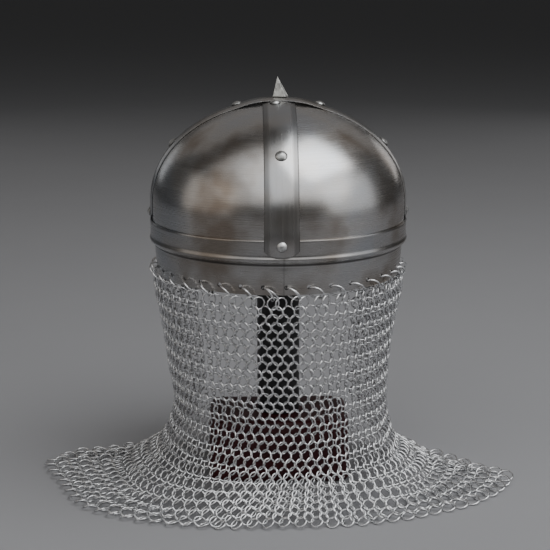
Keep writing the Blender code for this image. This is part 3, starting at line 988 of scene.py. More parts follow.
@dataclass
class Straps:
    """Two straps over the dome. The first laps over the band, the other crosses over it."""

    skull: Skull
    band: BrowBand
    width: float = 0.0265
    wall: float = 0.0015
    crown: float = 0.00025
    edge_thinning: float = 0.0010
    lap: float = 0.0130
    end_round: float = 0.0050
    end_power: float = 2.6
    end_rows: int = 8
    foot_rows: int = 40
    short_foot_rows: int = 20
    dome_rows: int = 72
    joggle_margin: float = 0.0012
    joggle_round: float = 0.35
    crossing_ramp: float = 0.0260
    crossing_margin: float = 0.0015
    edge: float = 0.00040
    even_share: float = 0.6
    edge_share: float = 0.4
    columns: int = 17
    # Strength of the painted rim shade on each strap.
    full_rim_shade: float = 0.80
    side_rim_shade: float = 0.20

    @property
    def lift(self) -> float:
        """Height by which the upper strap clears the lower one."""
        return self.wall + FIT

    @property
    def over_band(self) -> float:
        """Gap to the skull's outside where the strap lies on the band."""
        proud = max(self.band.bead_proud, self.band.lip_proud)
        return self.band.outside + proud + FIT - self.skull.radius

    @property
    def to_band(self) -> float:
        """Drop from the dome's spring line to the band's top edge."""
        return self.skull.spring_z - self.band.top_z

    def joggle_gap(self, run: np.ndarray) -> np.ndarray:
        """Gap to the skull where a strap leaves the dome straight for the band's top edge.

        Near its foot the dome draws in by c x^2 at x above it. A tangent that leaves it at
        x = h is c (h - x)^2 off it, and c h^2 + 2 c h x off the straight foot below, and h is
        such that the gap at the band is the step. The bend there is a short parabola.

        Args:
            run: metres down from the spring line, less than 0 on the dome.

        Returns:
            The gap.
        """
        step = self.over_band - FIT
        foot = self.to_band - self.joggle_margin
        c = self.skull.radius / (2.0 * self.skull.rise ** 2)
        h = math.sqrt(foot ** 2 + step / c) - foot
        on_dome = c * np.maximum(run + h, 0.0) ** 2
        line = np.where(run < 0.0, on_dome, c * h * h + 2.0 * c * h * run) / step
        k = self.joggle_round
        bend = 1.0 - np.clip(1.0 + k - line, 0.0, 2.0 * k) ** 2 / (4.0 * k)
        return FIT + step * np.where(line < 1.0 - k, line, bend)

    def crossing_gap(self, angle: np.ndarray) -> np.ndarray:
        """Gap to the skull where a strap rises over the other one near the crown, eased.

        Args:
            angle: place on the half ellipse.

        Returns:
            The gap.
        """
        flat = self.width / 2.0 + self.crossing_margin
        to_flat = self.skull.radius * np.cos(angle) - flat
        return FIT + self.lift * eased(1.0 - to_flat / self.crossing_ramp)

    def stations(self, lapped: bool) -> tuple[np.ndarray, np.ndarray, np.ndarray]:
        """Rows from the strap's end to its other end.

        Args:
            lapped: whether the ends lap over the band, or stop above it.

        Returns:
            Angle, drop and gap to the skull at each row, as columns.
        """
        end = self.to_band + self.lap if lapped else self.to_band - FIT
        foot_drop = np.linspace(end, 0.0, self.foot_rows if lapped else self.short_foot_rows)
        dome_angle = np.linspace(0.0, QUARTER_TURN, self.dome_rows)[1:]
        angle = np.append(np.zeros(len(foot_drop)), dome_angle)
        drop = np.append(foot_drop, np.zeros(len(dome_angle)))
        run = drop - self.skull.rise * angle
        gap = self.joggle_gap(run) if lapped else self.crossing_gap(angle)
        columns = [np.append(a, b[-2::-1]) for a, b in
                   ((angle, math.pi - angle), (drop, drop), (gap, gap))]
        return tuple(column[:, None] for column in columns)

    def build_one(self, name: str, lapped: bool, crosswise: bool,
                  steel: RolledSteel) -> None:
        """Build one strap as a sheet whose outside is crowned: thickest along its middle.

        At s half widths off the middle it is wall + crown - (crown + thinning) s^2 thick, and
        its ends draw in by r |s|^2.6. The columns lie closer together towards the edges, at
        s = 0.6 e + 0.4 sin(e pi / 2) for even e.

        Args:
            name: the CAD node that it replaces.
            lapped: whether its ends lap over the band.
            crosswise: whether it runs from side to side, not from back to front.
            steel: its finish, whose painted rim shade is then set to the strap's length.
        """
        angle, drop, gap = self.stations(lapped)
        even = np.linspace(-1.0, 1.0, self.columns)[None, :]
        share = self.even_share * even + self.edge_share * np.sin(even * QUARTER_TURN)
        lateral = share * self.width / 2.0
        drop = np.repeat(drop, self.columns, axis=1)
        ends = np.zeros_like(drop)
        fade = np.linspace(1.0, 0.0, self.end_rows + 1)[:-1, None]
        ends[:self.end_rows] = fade * self.end_round * np.abs(share) ** self.end_power
        ends[-self.end_rows:] = ends[:self.end_rows][::-1]
        points, normals = self.skull.surface(lateral, angle, drop - ends)
        inside = points + normals * gap[..., None]
        swell = self.wall + self.crown - (self.crown + self.edge_thinning) * share[..., None] ** 2
        outside = inside + normals * swell
        middle = outside[:, self.columns // 2]
        along = np.cumsum(np.linalg.norm(np.diff(middle, axis=0, prepend=middle[:1]), axis=1))
        along = along - along[-1] / 2.0
        material = replace(steel, end_at=float(along[-1])).build()
        uv = np.stack(np.broadcast_arrays(along[:, None], lateral), -1)
        if crosswise:
            spin = np.array([[0.0, -1.0, 0.0], [1.0, 0.0, 0.0], [0.0, 0.0, 1.0]])
            outside = outside @ spin.T
            inside = inside @ spin.T
        points, quads, uv = sheet(outside, inside, uv)
        strap = make_piece(name + "_steel", points, quads, material, uv)
        soften(strap, self.edge)
        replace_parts(strap, name)

    def build(self) -> None:
        """Build both straps."""
        # Each strap's finish paints shade and a shadow line along its edges and ends.
        for name, lapped, crosswise, rim_shade_strength in (
                ("strap_front_back", True, False, self.full_rim_shade),
                ("strap_side_to_side", False, True, self.side_rim_shade)):
            steel = RolledSteel(name + "_polish", dark=(0.26, 0.25, 0.24),
                                light=(0.49, 0.48, 0.47), roughness=0.25,
                                rim_at=self.width / 2.0, rim_shade_strength=rim_shade_strength)
            self.build_one(name, lapped, crosswise, steel)


@dataclass
class Rivets:
    """Domed heads, three on each arm of the straps."""

    skull: Skull
    straps: Straps
    radius: float = 0.0040
    spread: float = 0.0004
    height: float = 0.0022
    cap_rows: int = 9
    cap_share: float = 0.97
    cap_lift: float = 0.00015
    brim: float = 0.0001
    sunk: float = 0.0003
    # Height of the painted shadow at each head's foot.
    foot_shadow_height: float = 0.0008
    middle_size: float = 1.08
    low_size: float = 0.93
    side_top_angle: float = math.radians(71.3)
    middle_angle: float = math.radians(35.0)
    back_low_margin: float = 0.0088
    side_low_margin: float = 0.0048
    top_gap: float = 0.0013
    back_top_shift: float = -0.0030
    sides: int = 28

    def head(self) -> tuple[np.ndarray, np.ndarray, np.ndarray]:
        """Head as a cap of a sphere with a rolled lower edge: r = R sin a, z = R (cos a - cos e).

        Returns:
            Points, quads and UV about the origin.
        """
        radius = self.radius + self.spread
        ball = (radius ** 2 + self.height ** 2) / (2.0 * self.height)
        edge = math.asin(radius / ball)
        angle = np.linspace(0.0, edge * self.cap_share, self.cap_rows)
        radii = ball * np.sin(angle)
        heights = ball * (np.cos(angle) - math.cos(edge)) + self.cap_lift
        radii = np.append(radii, [radius, radius - self.brim, 0.0])
        heights = np.append(heights, [self.brim, -self.sunk, -self.sunk])
        return turned(radii, heights, self.sides)

    def places(self) -> tuple[dict[str, tuple], dict[str, tuple]]:
        """Angle, drop and gap of the three heads on an arm that laps, and on one that crosses.

        Returns:
            The places by level, for each kind of arm.
        """
        straps = self.straps
        beside = straps.width / 2.0 + self.top_gap + self.radius
        top = math.acos(beside / self.skull.radius)
        low = straps.to_band + straps.lap - self.back_low_margin
        lapped = {"top": (top, 0.0, FIT), "middle": (self.middle_angle, 0.0, FIT),
                  "low": (0.0, low, straps.over_band)}
        side_low = straps.to_band - FIT - self.side_low_margin
        crossing = {"low": (0.0, side_low, FIT)}
        for level, angle in (("top", self.side_top_angle), ("middle", self.middle_angle)):
            crossing[level] = (angle, 0.0, float(straps.crossing_gap(np.array(angle))))
        return lapped, crossing

    def build(self) -> None:
        """Seat each head on its strap, square to the surface there."""
        material = BrightSteel("rivet_polish", dark=(0.34, 0.34, 0.33), light=(0.66, 0.66, 0.65),
                               roughness=0.36, foot=self.foot_shadow_height).build()
        lapped, crossing = self.places()
        head, quads, uv = self.head()
        arms = {"back": lapped, "right": crossing, "front": lapped, "left": crossing}
        for arm_turns, (arm, levels) in enumerate(arms.items()):
            for level, (angle, drop, gap) in levels.items():
                shift = self.back_top_shift if (arm, level) == ("back", "top") else 0.0
                point, up = self.skull.surface(np.array(shift), np.array(angle), np.array(drop))
                seat = point + up * (gap + self.straps.wall + self.straps.crown)
                along = np.cross(up, (1.0, 0.0, 0.0))
                along = along / np.linalg.norm(along)
                basis = np.stack([np.cross(along, up), along, up])
                turn = arm_turns * QUARTER_TURN
                spin = np.array([[math.cos(turn), -math.sin(turn), 0.0],
                                 [math.sin(turn), math.cos(turn), 0.0], [0.0, 0.0, 1.0]])
                size = {"middle": self.middle_size, "low": self.low_size}.get(level, 1.0)
                points = ((head * (size, size, 1.0)) @ basis + seat) @ spin.T
                name = "rivet_" + arm + "_" + level
                rivet = make_piece(name + "_head", points, quads, material, uv)
                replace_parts(rivet, name)


@dataclass
class Spike:
    """Leaning four-sided point with filed edges."""

    low: Vector = field(default_factory=lambda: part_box("spike")[0])
    high: Vector = field(default_factory=lambda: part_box("spike")[1])
    shift: float = 0.0018
    side: float = 0.0107
    lean: float = -0.0025
    turn: float = math.radians(-15.5)
    lip: float = 0.0008
    lip_heights: tuple[float, ...] = (0.0, 0.0, 0.15, 0.8)
    lip_widths: tuple[float, ...] = (0.0, 0.97, 1.0, 1.0)
    corner: float = 0.00035
    corner_most: float = 0.6
    corner_steps: int = 5
    flank_rows: int = 24
    narrowing: float = 0.965

    def build(self) -> None:
        """Loft the point: a square with round corners, (h - c) (sx, sy) + c (cos t, sin t).

        Its half side h is full up to the lip and then shrinks evenly towards the tip.
        """
        height = self.high.z - self.low.z
        flank = np.linspace(1.0, height / self.lip, self.flank_rows)
        z = np.append(self.lip_heights, flank) * self.lip
        taper = 1.0 - self.narrowing * (z - self.lip) / (height - self.lip)
        half = self.side / 2.0 * np.clip(taper, 0.0, 1.0) * self.narrowing
        half[:len(self.lip_widths)] = self.side / 2.0 * np.array(self.lip_widths)
        half = np.append(half, 0.0)[:, None]
        z = np.append(z, height)
        quarter = np.repeat(np.arange(4), self.corner_steps) * QUARTER_TURN
        t = quarter + np.tile(np.linspace(0.0, QUARTER_TURN, self.corner_steps), 4)
        sign_x = np.sign(np.cos(quarter + math.pi / 4.0))
        sign_y = np.sign(np.sin(quarter + math.pi / 4.0))
        corner = np.minimum(self.corner, self.corner_most * half)
        x = (half - corner) * sign_x + corner * np.cos(t)
        y = (half - corner) * sign_y + corner * np.sin(t)
        cos_turn, sin_turn = math.cos(self.turn), math.sin(self.turn)
        slide = self.lean * np.clip(z / height, 0.0, 1.0)[:, None]
        points = np.stack([x * cos_turn - y * sin_turn + slide + self.shift,
                           x * sin_turn + y * cos_turn,
                           np.broadcast_to(z[:, None] + self.low.z, x.shape)], -1)
        quads = grid_quads(len(z), x.shape[1], wrap_columns=True)
        material = BrightSteel("spike_polish", dark=(0.30, 0.30, 0.285),
                               light=(0.56, 0.56, 0.53), roughness=0.38).build()
        spike = make_piece("spike_point", points, quads, material,
                           sharp=math.radians(10.0))
        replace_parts(spike, "spike")


@dataclass
class Mail:
    """Curtain of interlinked rings, each laid through two above it and two below.

    The wall hangs from the band, and the skirt spreads on the floor to the edge in edge_table.
    """

    band: BrowBand
    reach: float = 0.2050
    floor_lift: float = 0.0020
    floor_gap: float = 0.0001
    left_tip: float = math.radians(-93.0)
    right_tip: float = math.radians(81.0)
    tip_wall: float = math.radians(100.0)
    rows: int = 34
    wall_rows: int = 20
    row_pitch: float = 0.0068
    pitch: float = math.radians(5.0)
    ring_smallest: float = 0.0046
    ring_largest: float = 0.0064
    wire: float = 0.0014
    slack: float = 1.10
    first_drop: float = 0.0060
    last_margin: float = 0.0058
    sway: float = 0.0021
    sway_at: float = 0.625
    sway_width: float = 0.13
    fold: float = 0.0005
    fold_start: float = 0.5
    fold_loss: float = 0.7
    fold_waves: Pair = (7.0, 13.0)
    fold_phase: float = 0.6
    fold_twist: float = 9.0
    fine_fold: float = 0.6
    samples: int = 600
    smoothing: int = 20
    hem_samples: int = 30
    edge_samples: int = 721
    wall_tilt: float = math.radians(31.0)
    floor_tilt: float = math.radians(19.0)
    lean_back: float = math.radians(2.0)
    floor_lean: float = 0.25
    close_columns: float = 0.0095
    flat_columns: float = 0.0125
    open_columns: float = 0.0140
    tilt_spread: float = math.radians(1.6)
    lean_spread: float = math.radians(1.8)
    place_spread: float = 0.0001
    tone_shape: Pair = (6.0, 4.0)
    segments: int = 12
    sides: int = 5
    hanger_radius: float = 0.0069
    hanger_slant: float = math.radians(39.0)
    hanger_lean: float = math.radians(-30.0)
    hanger_inset: float = 0.0002
    hanger_slip: float = 0.0008
    hanger_slant_spread: float = math.radians(3.0)
    hanger_lean_spread: float = math.radians(4.0)
    hanger_tones: Pair = (0.4, 1.0)
    hanger_segments: int = 22
    hanger_sides: int = 6
    doubles: int = 7
    double_slant: float = math.radians(13.0)
    double_slip: float = -0.2
    double_size: float = 0.96
    gather: float = 0.0014
    gather_rows: float = 1.2
    seed: int = 11

    def sections(self) -> list[Triple]:
        """Share of the drop, radius as a share of the rim's, and move out to the floor's edge.

        Returns:
            The rows of the table.
        """
        return [(0.000, 1.000, 0.00), (0.060, 1.002, 0.00), (0.110, 0.990, 0.00),
                (0.195, 0.953, 0.00), (0.300, 0.926, 0.00), (0.400, 0.907, 0.00),
                (0.510, 0.890, 0.00), (0.640, 0.868, 0.00), (0.711, 0.866, 0.04),
                (0.773, 0.866, 0.11), (0.835, 0.866, 0.20), (0.880, 0.866, 0.33),
                (0.918, 0.866, 0.51), (0.957, 0.866, 0.75), (1.000, 0.866, 1.00)]

    def edge_table(self) -> list[Pair]:
        """Plan angle in degrees of the edge on the floor, and its reach as a share.

        Returns:
            The rows of the table.
        """
        return [(-180, 0.546), (-150, 0.575), (-132, 0.605), (-122, 0.630), (-114, 0.655),
                (-108, 0.708), (-104, 0.810), (-100, 0.925), (-97, 0.975), (-93, 1.000),
                (-85, 0.955), (-79, 0.920), (-70, 0.909), (-62, 0.900), (-55, 0.866),
                (-47, 0.820), (-38, 0.771), (-30, 0.735), (-20, 0.693), (-10, 0.667),
                (0, 0.658), (10, 0.665), (20, 0.688), (30, 0.720), (40, 0.763), (50, 0.814),
                (60, 0.884), (70, 0.943), (77, 0.975), (81, 0.982), (85, 0.850), (90, 0.790),
                (97, 0.728), (104, 0.680), (112, 0.645), (122, 0.630), (132, 0.605),
                (150, 0.575), (180, 0.546)]

    def edge(self, angle: np.ndarray) -> tuple[np.ndarray, np.ndarray]:
        """Point on the floor below each wall angle, evenly spaced along the edge.

        Args:
            angle: wall angles.

        Returns:
            X and Y of the points.
        """
        table = np.array(self.edge_table())
        plan = np.linspace(-math.pi, math.pi, self.edge_samples)
        reach = self.reach * np.interp(plan, np.radians(table[:, 0]), table[:, 1])
        x, y = reach * np.sin(plan), -reach * np.cos(plan)
        length = np.append(0.0, np.cumsum(np.hypot(np.diff(x), np.diff(y))))
        marks = np.interp([-math.pi, self.left_tip, self.right_tip, math.pi], plan, length)
        stops = [-math.pi, -self.tip_wall, self.tip_wall, math.pi]
        place = np.interp(angle, stops, marks)
        return np.interp(place, length, x), np.interp(place, length, y)

    def surface(self, angle: np.ndarray) -> np.ndarray:
        """Middle of the mail: wall circle (1 - o) + floor edge o, with o eased down the drop.

        Where the skirt runs further out than at the back, it comes down to the floor within
        the back's run and lies flat from there: its drop at o is the back's at o run / back
        run. The wall folds by f (sin(7 t + 0.6) + 0.6 sin(13 t + 9 s)) at plan angle t and
        share s of the drop, and sways a little sideways above the skirt.

        Args:
            angle: wall angles, one a column.

        Returns:
            Grid of points, finely sampled down each column.
        """
        table = np.array(self.sections())
        share = np.linspace(0.0, 1.0, self.samples)
        window = np.hanning(2 * self.smoothing + 1)
        window = window / window.sum()
        radius, out = (np.interp(share, table[:, 0], table[:, k]) for k in (1, 2))
        radius, out = (np.convolve(np.pad(values, self.smoothing, "edge"), window, "valid")
                       for values in (radius, out))
        hem = -self.hem_samples
        out[hem:] = np.interp(share[hem:], [share[hem - 1], 1.0], [out[hem - 1], 1.0])
        fold = self.fold * eased(share / self.fold_start) * (1.0 - self.fold_loss * out)
        twist = self.fold_twist * share[:, None]
        wide, fine = self.fold_waves
        wave = (np.sin(wide * angle + self.fold_phase)[None, :] * fold[:, None]
                + self.fine_fold * np.sin(fine * angle + twist) * fold[:, None])
        wall = self.band.rim_radius * radius[:, None] + wave
        edge_x, edge_y = self.edge(angle)
        foot = self.band.rim_radius * radius[-1]
        back_run = np.hypot(*self.edge(np.array(0.0))) - foot
        further = np.maximum((np.hypot(edge_x, edge_y) - foot) / back_run, 1.0)
        drop = np.where(out[:, None] > 0.0, np.interp(out[:, None] * further, out, share),
                        share[:, None])
        sway = self.sway * np.exp(-((share - self.sway_at) / self.sway_width) ** 2)[:, None]
        out = out[:, None]
        x = wall * np.sin(angle) * (1.0 - out) + edge_x * out + sway
        y = -wall * np.cos(angle) * (1.0 - out) + edge_y * out
        top = self.band.rim_z - FIT
        return np.stack([x, y, top + (self.floor_lift - top) * drop], -1)

    def nets(self) -> tuple[np.ndarray, np.ndarray]:
        """Places of the rings on a net of rows and half columns.

        Down each half column the wall's rows are even. On the skirt the row at share q of the
        rows lies at S q + (P - S) q (1 - q)^3, S being the length there and P that of as many
        rows at the wall's pitch, so the pitch changes smoothly.

        Returns:
            Grid of points, and the plan angle of each half column.
        """
        hook = self.band.hole_offset + self.hook_turn()
        edge = math.pi - self.band.face_half_angle
        phase = (hook + self.pitch / 2.0) % self.pitch
        first = math.ceil((-edge - phase) / self.pitch)
        last = math.floor((edge - phase) / self.pitch)
        count = 2 * (last - first) + 1
        angle = phase + self.pitch * (first + (np.arange(-1, count + 1)) / 2.0)
        points = self.surface(angle)
        step = np.linalg.norm(np.diff(points, axis=0), axis=-1)
        length = np.vstack([np.zeros(len(angle)), np.cumsum(step, axis=0)])
        wall_stops = self.first_drop + self.row_pitch * np.arange(-1, self.wall_rows)[:, None]
        waist = self.first_drop + self.row_pitch * self.wall_rows
        skirt = length[-1] - self.last_margin - waist
        skirt_rows = self.rows - self.wall_rows
        q = np.linspace(0.0, 1.0, skirt_rows)[:, None]
        even = self.row_pitch * (skirt_rows - 1)
        skirt_stops = waist + skirt * q + (even - skirt) * q * (1.0 - q) ** 3
        wall_stops = np.broadcast_to(wall_stops, (self.wall_rows + 1, len(angle)))
        stops = np.vstack([wall_stops, skirt_stops, skirt_stops[-1:] + self.row_pitch])
        net = np.empty((self.rows + 2, len(angle), 3))
        for k in range(len(angle)):
            for axis in range(3):
                net[:, k, axis] = np.interp(stops[:, k], length[:, k], points[:, k, axis])
        net[0] = 2.0 * net[1] - net[2]
        net[-1] = 2.0 * net[-2] - net[-3]
        return net, angle

    def hook_turn(self) -> float:
        """Plan angle from a hole to the place where its hanger takes the first row."""
        run = 2.0 * self.hanger_radius * math.cos(self.hanger_slant)
        return run / self.band.rim_radius

    def rings(self) -> tuple[np.ndarray, np.ndarray, np.ndarray, np.ndarray, np.ndarray]:
        """Centre, downward direction, axis, radius and row of every ring.

        A ring lies in the surface, turned by an angle about the downward direction that
        changes sign from row to row, with its top leaning outwards. Its radius is half of
        d + slack x wire, d being the distance to the rings that it holds, and stays between
        the smallest and the largest. Near the band the rings gather towards the hangers.

        Returns:
            The five arrays.
        """
        draw = np.random.default_rng(self.seed)
        net, angle = self.nets()
        inner = net[1:-1, 1:-1]
        across = net[1:-1, 2:] - net[1:-1, :-2]
        down = (net[2:, 1:-1] - net[:-2, 1:-1]) / 2.0
        column_pitch = np.linalg.norm(across, axis=-1)
        row_pitch = np.linalg.norm(down, axis=-1)
        across = across / column_pitch[..., None]
        normal = np.cross(down, across)
        normal = normal / np.linalg.norm(normal, axis=-1, keepdims=True)
        across = np.cross(normal, down / row_pitch[..., None])
        down = down / row_pitch[..., None]
        row = np.broadcast_to(np.arange(self.rows)[:, None], column_pitch.shape)
        half = np.broadcast_to(np.arange(column_pitch.shape[1])[None, :], column_pitch.shape)
        used = (row + half) % 2 == 0
        hook = self.band.hole_offset + self.hook_turn()
        pull = np.sin(FULL_TURN * (angle[None, 1:-1] - hook) / self.band.hole_pitch)
        slide = -self.gather * np.exp(-row / self.gather_rows) * pull
        inner = inner + across * slide[..., None]
        tilt = np.interp(column_pitch, (self.close_columns, self.open_columns),
                         (self.wall_tilt, self.floor_tilt))
        linked = np.hypot(column_pitch / 2.0 / np.cos(tilt), row_pitch)
        radius = np.clip((linked + self.slack * self.wire) / 2.0, self.ring_smallest,
                         self.ring_largest)
        lean = self.lean_back * np.interp(column_pitch, (self.close_columns, self.flat_columns),
                                          (1.0, self.floor_lean))
        tilt = tilt * (1.0 - 2.0 * (row % 2))
        picked = (inner, down, across, normal, radius, tilt, lean, row)
        inner, down, across, normal, radius, tilt, lean, row = (a[used] for a in picked)
        count = len(radius)
        tilt = tilt + draw.normal(0.0, self.tilt_spread, count)
        lean = (lean + draw.normal(0.0, self.lean_spread, count))[:, None]
        axis = normal * np.cos(tilt)[:, None] + across * np.sin(tilt)[:, None]
        axis = axis * np.cos(lean) + down * np.sin(lean)
        down = np.cross(np.cross(axis, down), axis)
        down = down / np.linalg.norm(down, axis=-1, keepdims=True)
        centre = inner + draw.normal(0.0, self.place_spread, (count, 3))
        return centre, down, axis, radius, row

    def torus(self, centre: np.ndarray, down: np.ndarray, axis: np.ndarray, radius: np.ndarray,
              segments: int, sides: int) -> np.ndarray:
        """Rings as arrays: centre + (R + w cos b)(cos a down + sin a side) + w sin b axis.

        Args:
            centre: ring centres.
            down: unit vector of each ring's plane.
            axis: unit axis of each ring.
            radius: radius of each wire's middle.
            segments: steps round a ring.
            sides: steps round its wire.

        Returns:
            Points, by ring, segment and side.
        """
        a = (FULL_TURN * np.arange(segments) / segments)[None, :, None, None]
        b = (FULL_TURN * np.arange(sides) / sides)[None, None, :, None]
        side = np.cross(axis, down)
        down, side, axis, centre = (v[:, None, None, :] for v in (down, side, axis, centre))
        reach = radius[:, None, None, None] + self.wire / 2.0 * np.cos(b)
        return (centre + reach * (np.cos(a) * down + np.sin(a) * side)
                + self.wire / 2.0 * np.sin(b) * axis)

    def add_rings(self, name: str, points: np.ndarray, material: bpy.types.Material,
                  tone: np.ndarray) -> bpy.types.Object:
        """Join rings into one piece.

        Args:
            name: the piece's name.
            points: points by ring, segment and side.
            material: the wire's finish.
            tone: one tone a ring.

        Returns:
            The piece.
        """
        count, segments, sides = points.shape[:3]
        one = grid_quads(segments, sides, wrap_rows=True, wrap_columns=True)
        quads = (np.arange(count)[:, None, None] * segments * sides + one).reshape(-1, 4)
        piece = make_piece(name, points, quads, material, sharp=math.radians(180.0))
        attribute = piece.data.attributes.new("tone", "FLOAT", "POINT")
        values = np.repeat(tone, segments * sides).astype(np.float32)
        attribute.data.foreach_set("value", values)
        return piece

    def hangers(self, material: bpy.types.Material) -> None:
        """Rings through the band's holes. Each slants down to the right and round the rim.

        Args:
            material: the wire's finish.
        """
        draw = np.random.default_rng(self.seed + 1)
        holes = self.band.holes()
        doubled = draw.permutation(len(holes))[:self.doubles]
        angle = np.concatenate([holes, holes[doubled]])
        extra = np.arange(len(angle)) >= len(holes)
        slant = self.hanger_slant + draw.normal(0.0, self.hanger_slant_spread, len(angle))
        slant = slant + np.where(extra, self.double_slant, 0.0)
        outward = np.stack([np.sin(angle), -np.cos(angle), np.zeros_like(angle)], -1)
        right = np.stack([np.cos(angle), np.sin(angle), np.zeros_like(angle)], -1)
        middle = self.band.radius_at(np.array(self.band.hole_level)) - self.band.wall / 2.0
        slip = self.hanger_slip * np.where(extra, self.double_slip, 1.0)
        height = self.band.rim_z + self.band.hole_level - slip
        hook = outward * middle + height[:, None] * np.array([0.0, 0.0, 1.0])
        slope = right * np.cos(slant)[:, None]
        slope[:, 2] = -np.sin(slant)
        radius = self.hanger_radius * np.where(extra, self.double_size, 1.0)
        centre = hook + slope * radius[:, None] - outward * self.hanger_inset
        lean = self.hanger_lean + draw.normal(0.0, self.hanger_lean_spread, len(angle))
        lean = lean[:, None]
        axis = np.cross(outward, slope)
        axis = axis * np.cos(lean) + outward * np.sin(lean)
        points = self.torus(centre, slope, axis, radius, self.hanger_segments,
                            self.hanger_sides)
        tone = draw.uniform(*self.hanger_tones, len(angle))
        piece = self.add_rings("hanger_rings", points, material, tone)
        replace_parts(piece, "mail_wall")

    def build(self) -> None:
        """Weave the mail in bands of rows, lift what sinks into the floor, and hang it."""
        draw = np.random.default_rng(self.seed + 2)
        material = DrawnWire("mail_wire").build()
        centre, down, axis, radius, row = self.rings()
        points = self.torus(centre, down, axis, radius, self.segments, self.sides)
        sunk = np.minimum(points[..., 2].min(axis=(1, 2)) - self.floor_gap, 0.0)
        points[..., 2] -= sunk[:, None, None]
        tone = draw.beta(*self.tone_shape, len(radius))
        parts = (("mail_collar", 0, 9, "mail_wall"), ("mail_middle", 9, 18, "mail_wall"),
                 ("mail_waist", 18, 26, "mail_skirt"), ("mail_hem", 26, self.rows, "mail_skirt"))
        for name, low, high, node in parts:
            chosen = (row >= low) & (row < high)
            piece = self.add_rings(name, points[chosen], material, tone[chosen])
            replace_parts(piece, node)
        self.hangers(material)


@dataclass
class Stand:
    """Low block, round post and rounded cap that carry the crown."""

    skull: Skull
    edge: float = 0.0045
    edge_steps: int = 7
    upright_rows: int = 6
    squareness: float = 14.0
    block_sides: int = 160
    chamfer: float = 0.0008
    cap_rows: int = 16
    cap_lip: float = 0.0010
    round_sides: int = 72

    def build(self) -> None:
        """Build the three pieces in the places of their CAD nodes."""
        red = PaintedWood("red_paint", colour=(0.060, 0.006, 0.008), rubbed=(0.022, 0.004, 0.005),
                          grain_stretch=(0.12, 1.0, 1.0), roughness=0.42).build()
        black = PaintedWood("black_paint", colour=(0.012, 0.012, 0.013),
                            rubbed=(0.035, 0.033, 0.032), grain_stretch=(1.0, 1.0, 0.1),
                            roughness=0.45).build()
        self.block(red)
        self.post(black)
        self.cap(black)

    def block(self, material: bpy.types.Material) -> None:
        """Block with rounded upright corners and a softened top.

        The plan is the squircle |c|^p + |s|^p = 1 stretched to the block's two half widths,
        and a quarter circle draws it in at the top and bottom edges.

        Args:
            material: its finish.
        """
        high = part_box("stand_base")[1]
        around = FULL_TURN * np.arange(self.block_sides) / self.block_sides
        c, s = np.cos(around), np.sin(around)
        power = self.squareness
        corner = (np.abs(c) ** power + np.abs(s) ** power) ** (-1.0 / power)
        bend = np.linspace(0.0, QUARTER_TURN, self.edge_steps)
        upright = np.linspace(self.edge, high.z - self.edge, self.upright_rows + 2)[1:-1]
        inset = np.concatenate([[1.0], 1.0 - np.sin(bend), np.zeros(self.upright_rows),
                                1.0 - np.cos(bend), [1.0]]) * self.edge
        z = np.concatenate([[0.0], self.edge * (1.0 - np.cos(bend)), upright,
                            high.z - self.edge * (1.0 - np.sin(bend)), [high.z]])
        x = (high.x - inset)[:, None] * (corner * c)[None, :]
        y = (high.y - inset)[:, None] * (corner * s)[None, :]
        x[0], x[-1], y[0], y[-1] = 0.0, 0.0, 0.0, 0.0
        points = np.stack([x, y, np.broadcast_to(z[:, None], x.shape)], -1)
        quads = grid_quads(len(z), self.block_sides, wrap_columns=True)
        block = make_piece("stand_block", points, quads, material)
        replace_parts(block, "stand_base")

    def post(self, material: bpy.types.Material) -> None:
        """Round post with small chamfers.

        Args:
            material: its finish.
        """
        low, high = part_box("stand_post")
        inner, radius = high.x - self.chamfer, high.x
        radii = np.array([0.0, inner, radius, radius, inner, 0.0])
        heights = np.array([low.z, low.z, low.z + self.chamfer,
                            high.z - self.chamfer, high.z, high.z])
        points, quads, uv = turned(radii, heights, self.round_sides)
        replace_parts(make_piece("stand_rod", points, quads, material, uv),
                    "stand_post")

    def cap(self, material: bpy.types.Material) -> None:
        """Rounded cap that follows the hollow of the crown: z on the inner half ellipse.

        Args:
            material: its finish.
        """
        low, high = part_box("stand_cap")
        hollow = self.skull.radius - self.skull.wall - FIT
        rise = high.z - self.skull.spring_z
        reach = np.linspace(0.0, high.x, self.cap_rows)
        dome = self.skull.spring_z + rise * np.sqrt(1.0 - (reach / hollow) ** 2)
        radii = np.concatenate([reach, [high.x, high.x - self.cap_lip, 0.0]])
        heights = np.concatenate([dome, [low.z + self.cap_lip, low.z, low.z]])
        points, quads, uv = turned(radii, heights, self.round_sides)
        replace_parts(make_piece("stand_dome", points, quads, material, uv),
                    "stand_cap")


@dataclass(frozen=True)
class SoftLamp:
    """A flat soft lamp: where it hangs, what it faces, its two sides and its power."""

    name: str
    place: Triple
    target: Triple
    sides: Pair
    power: float
    colour: Triple = (1.0, 1.0, 1.0)

    def build(self) -> None:
        """Hang the lamp."""
        lamp = bpy.data.lights.new(self.name, "AREA")
        lamp.shape = "RECTANGLE"
        lamp.size, lamp.size_y = self.sides
        lamp.energy = self.power
        lamp.color = self.colour
        thing = bpy.data.objects.new(self.name, lamp)
        thing.location = self.place
        aim = Vector(self.target) - Vector(self.place)
        thing.rotation_euler = aim.to_track_quat("-Z", "Y").to_euler()
        bpy.context.scene.collection.objects.link(thing)


